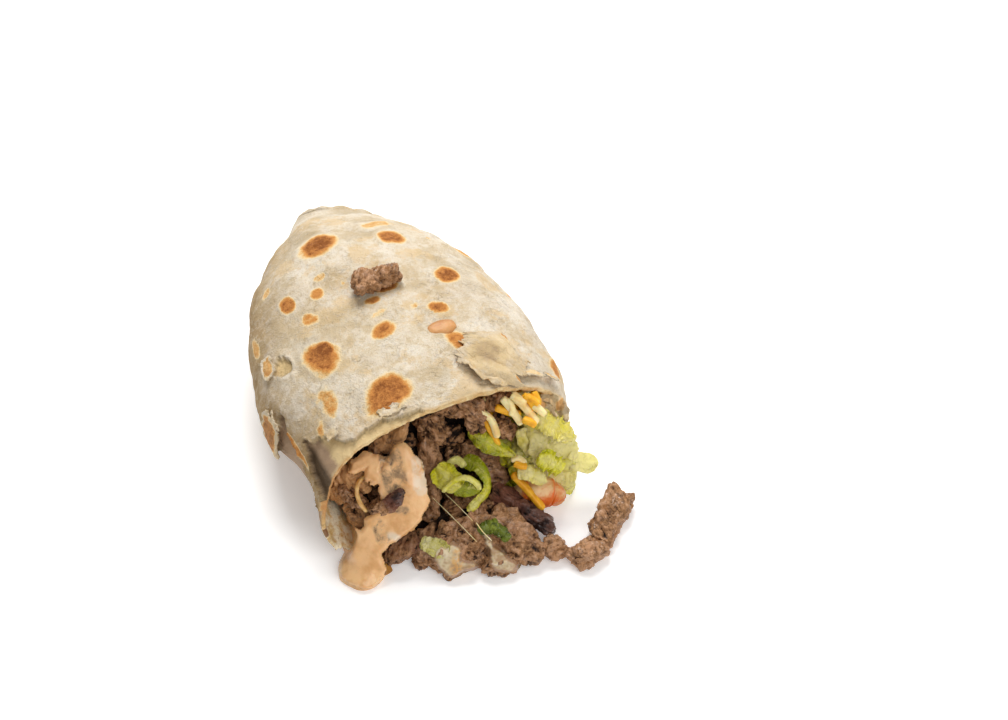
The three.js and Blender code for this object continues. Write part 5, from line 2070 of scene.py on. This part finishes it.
class Core:
    """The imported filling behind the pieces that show, in the solid's own form."""

    def __init__(self, node: str, grain: float = 1.15) -> None:
        """Splits the solid's surface into even squares.

        Args:
            node: the solid.
            grain: width of a square in millimetres.
        """
        self.node = node
        source = bmesh.new()
        source.from_mesh(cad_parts[node].data)
        bmesh.ops.remove_doubles(source, verts=source.verts, dist=1e-6)
        mesh = bpy.data.meshes.new("core")
        source.to_mesh(mesh)
        source.free()
        block = bpy.data.objects.new("core", mesh)
        bpy.context.scene.collection.objects.link(block)
        even = block.modifiers.new("even", "REMESH")
        even.mode, even.voxel_size = "VOXEL", grain * MM
        result = block.evaluated_get(bpy.context.evaluated_depsgraph_get()).to_mesh()
        points = np.empty(len(result.vertices) * 3)
        result.vertices.foreach_get("co", points)
        corners = np.empty(len(result.loops), int)
        result.loops.foreach_get("vertex_index", corners)
        places = points.reshape(-1, 3) / MM + (0.0, REST_TO_CUT, 0.0)
        self.even = Shell(places, corners.reshape(-1, 4))
        bpy.data.objects.remove(block)

    def shell(self, seed: int) -> Shell:
        """Its surface, pushed in and out by lumps the size of chopped meat or leaf.

        Args:
            seed: of its noise.

        Returns:
            A closed body with its marks.
        """
        noise = Noise(1000 + seed)
        p = self.even.points
        height = 1.0 * noise.creased(p, 7.0, 3) - 0.9 + 0.5 * noise.rough(p, 2.4, 3)
        points = p + self.even.normals() * height[:, None]
        points[:, 2] = np.maximum(points[:, 2], 0.1)
        marks = {
            "grain": p * MM,
            # deep: painted shade in the hollows between the lumps and further into the roll.
            "deep": np.clip(0.75 - height + 0.8 * ease((p[:, 1] - 1.0) / 8.0), 0, 1),
            "edge": 0.5 + 0.4 * noise.at(p, 9.0),
        }
        return Shell(points, self.even.quads, marks)

    def spots(self, apart: float, count: int, seed: int,
              visible: Callable[[Array], Array]) -> tuple[Array, Array]:
        """Seeded places on the surface that keep apart from each other.

        Args:
            apart: the least distance between two.
            count: the most places.
            seed: of the choice.
            visible: which places may be taken.

        Returns:
            The places and the directions out of the surface there.
        """
        rng = np.random.default_rng(seed)
        allowed = np.flatnonzero(visible(self.even.points))
        order = rng.permutation(allowed)
        free = self.even.points[order]
        taken: list[int] = []
        while len(free) and len(taken) < count:
            taken.append(int(order[0]))
            away = np.linalg.norm(free - free[0], axis=1) > apart
            free, order = free[away], order[away]
        return self.even.points[taken], self.even.normals()[taken]


@dataclass(frozen=True)
class Scatter:
    """Small pieces strewn over a core."""

    seed: int
    places: Array
    outs: Array  # directions out of the surface at the places

    def lines(self, lift: float, length: tuple[float, float], tilt: float) -> list[tuple[Array, Array]]:
        """A middle line for each place, roughly along the surface.

        Args:
            lift: how far off the surface it is.
            length: of the shortest and the longest.
            tilt: how much it may lean out of the surface.

        Returns:
            The two ends of each.
        """
        rng = np.random.default_rng(self.seed)
        made = []
        for place, out in zip(self.places + self.outs * lift, self.outs):
            way = unit(np.cross(out, rng.normal(size=3)))
            way = unit(way + out * rng.normal() * tilt)
            half = rng.uniform(*length) / 2
            made.append((place - way * half, place + way * half))
        return made

    def chunks(self) -> Shell:
        """Small chunks of steak.

        Returns:
            All of them in one.
        """
        rng = np.random.default_rng(self.seed + 1)
        shells = []
        for k, (start, end) in enumerate(self.lines(0.0, (1.5, 6.0), 0.35)):
            wide = rng.uniform(4.8, 8.4)
            # Painted shade: the further into the roll a chunk lies, the darker it is painted.
            inside = float(ease((self.places[k][1] + 1.0) / 8.0))
            chunk = Chunk(tuple(start), tuple(end), wide, wide * rng.uniform(0.6, 0.85),
                          rng.uniform(-40, 40), char=rng.uniform(0, 0.25), shade=inside)
            shells.append(chunk.shell(1000 + self.seed + k, 34, 46))
        return Shell.joined(shells)

    def leaves(self) -> Shell:
        """Shreds of lettuce.

        Returns:
            All of them in one.
        """
        rng = np.random.default_rng(self.seed + 2)
        shells = []
        for k, (start, end) in enumerate(self.lines(0.8, (7, 14), 0.4)):
            middle = (start + end) / 2 + rng.normal(size=3) * 1.0
            leaf = Leaf((tuple(start), tuple(middle), tuple(end)), tuple(self.outs[k]),
                        tuple(rng.uniform(3, 7, 3)), rng.uniform(0.4, 1.2), int(rng.integers(1, 3)),
                        rng.uniform(0.3, 0.8), rng.uniform(0, 0.5))
            shells.append(leaf.shell(1100 + self.seed + k, 40, 20))
        return Shell.joined(shells)

    def shreds(self) -> Shell:
        """Shreds of cheese.

        Returns:
            All of them in one.
        """
        rng = np.random.default_rng(self.seed + 3)
        shells = []
        for k, (start, end) in enumerate(self.lines(0.6, (6, 11), 0.5)):
            middle = (start + end) / 2 + rng.normal(size=3) * 0.9
            shred = Shred((tuple(start), tuple(middle), tuple(end)), rng.uniform(1.9, 2.8),
                          rng.uniform(1.6, 2.2))
            shells.append(shred.shell(1200 + self.seed + k, 26, 16))
        return Shell.joined(shells)


# --- studio


@dataclass(frozen=True)
class Studio:
    """Pale floor, soft lights and the camera."""

    eye: Point = (-0.14429, -0.57714, 0.67166)  # place of the camera, in the shared frame's metres
    azimuth: float = -18.0  # where it looks from, in degrees
    elevation: float = 48.0
    lens: float = 85.0  # focal length in millimetres on a 36 mm sensor
    floor_half: float = 3.0  # half of the floor's side in metres
    sky: float = 0.3  # strength of the even light from all round

    def build(self) -> None:
        """Makes everything."""
        self._floor()
        self._camera()
        self._world()
        self._softbox("key", (0.1, 0.48, 0.79), 0.55, 8.5)
        self._softbox("front", (0.3, -0.76, 0.7), 0.8, 4.7)
        bpy.context.scene.view_settings.view_transform = "Standard"

    def _floor(self) -> None:
        """A square that the object rests on."""
        mesh = bpy.data.meshes.new("floor")
        half = self.floor_half
        corners = [(-half, -half, 0), (half, -half, 0), (half, half, 0), (-half, half, 0)]
        mesh.from_pydata(corners, [], [(0, 1, 2, 3)])
        mesh.materials.append(FloorFinish().make())
        floor = bpy.data.objects.new("floor", mesh)
        bpy.context.scene.collection.objects.link(floor)

    def _camera(self) -> None:
        """The camera, turned to look along the given angles."""
        a, e = math.radians(self.azimuth), math.radians(self.elevation)
        back = Vector((math.sin(a) * math.cos(e), -math.cos(a) * math.cos(e), math.sin(e)))
        data = bpy.data.cameras.new("camera")
        data.lens, data.sensor_width = self.lens, 36.0
        data.clip_start, data.clip_end = 0.01, 20.0
        camera = bpy.data.objects.new("camera", data)
        camera.location = self.eye
        camera.rotation_euler = back.to_track_quat("Z", "Y").to_euler()
        bpy.context.scene.collection.objects.link(camera)
        bpy.context.scene.camera = camera

    def _world(self) -> None:
        """An even white sky."""
        world = bpy.data.worlds.new("soft_sky")
        world.use_nodes = True
        sky = world.node_tree.nodes["Background"]
        sky.inputs["Color"].default_value = (1.0, 1.0, 1.0, 1.0)
        sky.inputs["Strength"].default_value = self.sky
        bpy.context.scene.world = world

    def _softbox(self, name: str, place: Point, size: float, power: float) -> None:
        """A square light that looks at the object.

        Args:
            name: of the light.
            place: in metres.
            size: of its side in metres.
            power: in watts.
        """
        data = bpy.data.lights.new(name, "AREA")
        data.shape, data.size, data.energy = "SQUARE", size, power
        light = bpy.data.objects.new(name, data)
        light.location = place
        aim = Vector(place) - Vector((0.0, -0.03, 0.02))
        light.rotation_euler = aim.to_track_quat("Z", "Y").to_euler()
        bpy.context.scene.collection.objects.link(light)


class Filling:
    """Everything that fills the roll and spills out of it."""

    def __init__(self) -> None:
        """Makes the finishes that its pieces share."""
        self.steak = SteakFinish().make()
        self.lettuce = LeafFinish("crisp_lettuce", 0xE6DC7C, 0xD4CC20, 0x8C9400).make()
        self.heart = LeafFinish("lettuce_heart", 0xEBDC90, 0xE6D45C, 0xCEC426).make()
        # A duller, darker copy of the crisp lettuce: painted shade for the core that lies packed inside the
        # roll.
        self.packed = LeafFinish("packed_lettuce", 0xDACF86, 0xBDB63E, 0x7E861C).make()
        self.wilted = LeafFinish("wilted_lettuce", 0xD9CF9A, 0xBEB45C, 0x8C8A3C, 0.3).make()
        self.herb = LeafFinish("cilantro", 0x7E8828, 0x5A660A, 0x303E08, 0.05).make()
        self.yellow = CheeseFinish("yellow_cheese", 0xF6B82E, 0xE29E18).make()
        self.pale = CheeseFinish("pale_cheese", 0xFFEBB2, 0xF3D28A, 0.15).make()
        self.melted = CheeseFinish("melted_cheese", 0xDCCBA6, 0xB0906A, 0.45, 4.0).make()
        self.sauce = SauceFinish().make()
        self.under: dict[str, Shell] = {}

    def build(self) -> None:
        """Makes the pieces from the cores outwards."""
        self.cores()
        self.chunks()
        self.greens()
        self.cheese()
        Piece("prawn", Shrimp().shell(), ShrimpFinish().make(), Slot.SHRIMP).stands_for("shrimp")
        self.sauces()

    def cores(self) -> None:
        """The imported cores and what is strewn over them."""
        roll = Roll()

        def shown(p: Array) -> Array:
            """In front of the cut or just behind it, and not against the wrap.

            Args:
                p: places.

            Returns:
                Whether each one may be taken.
            """
            hollow = (p[:, 0] > -2) & (p[:, 0] < 22) & (p[:, 2] > 22) & (p[:, 1] > 1)
            inside = (p[:, 1] < -6) | (roll.margin(p) > 0.22)
            return (p[:, 1] < 13.5) & (p[:, 2] > 1.5) & inside & ~hollow

        steak, lettuce, cheese = Core("steak_core"), Core("lettuce_core"), Core("cheese_core")
        self.under["core"] = steak.shell(1)
        Piece("meat_packed", self.under["core"], self.steak, Slot.STEAK).stands_for("steak_core")
        chunks = Scatter(5, *steak.spots(6.8, 80, 3, shown)).chunks()
        self.under["meat_bits"] = chunks
        Piece("meat_bits", chunks, self.steak, Slot.STEAK)
        Piece("lettuce_packed", lettuce.shell(2), self.packed, Slot.LETTUCE).stands_for("lettuce_core")
        leaves = Scatter(6, *lettuce.spots(6.0, 34, 4, shown)).leaves()
        Piece("lettuce_bits", leaves, self.lettuce, Slot.LETTUCE)
        Piece("cheese_packed", cheese.shell(3), self.yellow, Slot.YELLOW).stands_for("cheese_core")
        tangles = ((Slot.YELLOW, self.yellow, 7, YELLOW_TANGLE), (Slot.PALE, self.pale, 8, PALE_TANGLE))
        for slot, finish, seed, tangle in tangles:
            shreds = Scatter(seed, *cheese.spots(4.0, 12, seed, shown)).shreds()
            named = [shred.shell(60 + seed + k) for k, shred in enumerate(tangle)]
            Piece(f"{slot.name.lower()}_bits", Shell.joined([shreds, *named]), finish, slot)

    def chunks(self) -> None:
        """The chunks of steak."""
        for seed, (name, chunk) in enumerate(STEAK.items()):
            lumps = [lump.shell(40 + seed + k) for k, lump in enumerate(STEAK_LUMPS.get(name, ()))]
            self.under[name] = Shell.joined([chunk.shell(seed), *lumps])
            Piece(f"chunk_{name}", self.under[name], self.steak, Slot.STEAK).stands_for(f"steak_{name}")

    def greens(self) -> None:
        """The leaves."""
        for seed, (name, leaves) in enumerate(LETTUCE.items()):
            finish = self.heart if name in PALE_LEAVES else self.lettuce
            finish = self.wilted if name == "scrap" else finish
            shell = Shell.joined([leaf.shell(seed + SEED_STEP * k) for k, leaf in enumerate(leaves)])
            Piece(f"leaf_{name}", shell, finish, Slot.LETTUCE).stands_for(f"lettuce_{name}")
        herb = Shell.joined([leaf.shell(50 + k) for k, leaf in enumerate(CILANTRO)])
        Piece("herb", herb, self.herb, Slot.HERB).stands_for("cilantro_leaf")

    def cheese(self) -> None:
        """The named shreds of cheese, the melted edge round the curled steak and a soft scrap of pepper."""
        fat = CheeseFinish("melted_fat", 0xEAC07A, 0xCC9550, 0.3).make()
        Piece("curl_edge", CURL_EDGE.shell(88, 60), fat, Slot.PALE)
        pepper = CheeseFinish("stewed_pepper", 0xB07A34, 0x7C4E1E, 0.3).make()
        Piece("pepper", PEPPER.shell(89), pepper, Slot.YELLOW)
        strings = Shell.joined([shred.shell(90 + k, 60, 10) for k, shred in enumerate(STRINGS)])
        Piece("strings", strings, self.pale, Slot.PALE)
        Piece("shred_long", LONG_SHRED.shell(0), self.yellow, Slot.YELLOW).stands_for("cheese_shred_long")
        kinds = (("yellow", self.yellow, Slot.YELLOW, YELLOW_SHREDS),
                 ("white", self.pale, Slot.PALE, WHITE_SHREDS))
        for kind, finish, slot, shreds in kinds:
            for seed, shred in enumerate(shreds, 1):
                name = f"shred_{kind}_{seed}"
                Piece(name, shred.shell(seed + len(kind)), finish, slot).stands_for("cheese_" + name)

    def sauces(self) -> None:
        """The sauce and the melted cheese, over all that lies under them."""
        puddle = PUDDLE.shell(1)
        loose = ("pointed", "curl_upper", "curl_lower", "meat_bits")
        under = [shell for name, shell in self.under.items() if name not in loose]
        form = Core("sauce", 0.5).even
        poured = Shell.joined([SAUCE.shell([*under, form, puddle], 1), puddle])
        Piece("sauce_poured", poured, self.sauce, Slot.SAUCE).stands_for("sauce")
        # A darker copy of the sauce: painted shade that tones down the light on the drop.
        fallen = SauceFinish("fallen_sauce", 0xD29A60, 0xBE8450, rough=0.5, gloss=0.04).make()
        Piece("sauce_fallen", DROP.shell(2), fallen, Slot.SAUCE).stands_for("sauce_drop")
        for seed, (name, melt) in enumerate(MELTS.items()):
            shell = melt.shell(list(self.under.values()), 10 + seed)
            Piece(f"melt_{name}", shell, self.melted, Slot.PALE).stands_for(f"melted_{name}")


def main() -> None:
    """Builds the pieces in order and the studio round them."""
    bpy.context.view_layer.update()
    tortilla = TortillaFinish().make()
    wrap = Wrap()
    Piece("wrap", wrap.shell(), tortilla, Slot.TORTILLA).stands_for("tortilla")
    Piece("flake", Flake().shell(), tortilla, Slot.TORTILLA).stands_for("tortilla_flake")
    peels = Shell.joined([peel.shell(wrap.roll, seed) for seed, peel in enumerate(PEELS)])
    Piece("peels", peels, tortilla, Slot.TORTILLA)
    crumbs = Shell.joined([torn_edge(leaf, seed) for seed, leaf in enumerate(RIM_CRUMBS)])
    Piece("rim_crumbs", crumbs, tortilla, Slot.TORTILLA)
    Filling().build()
    Studio().build()


if __name__ == "__main__":
    logging.basicConfig(level=logging.INFO, format="%(message)s")
    main()
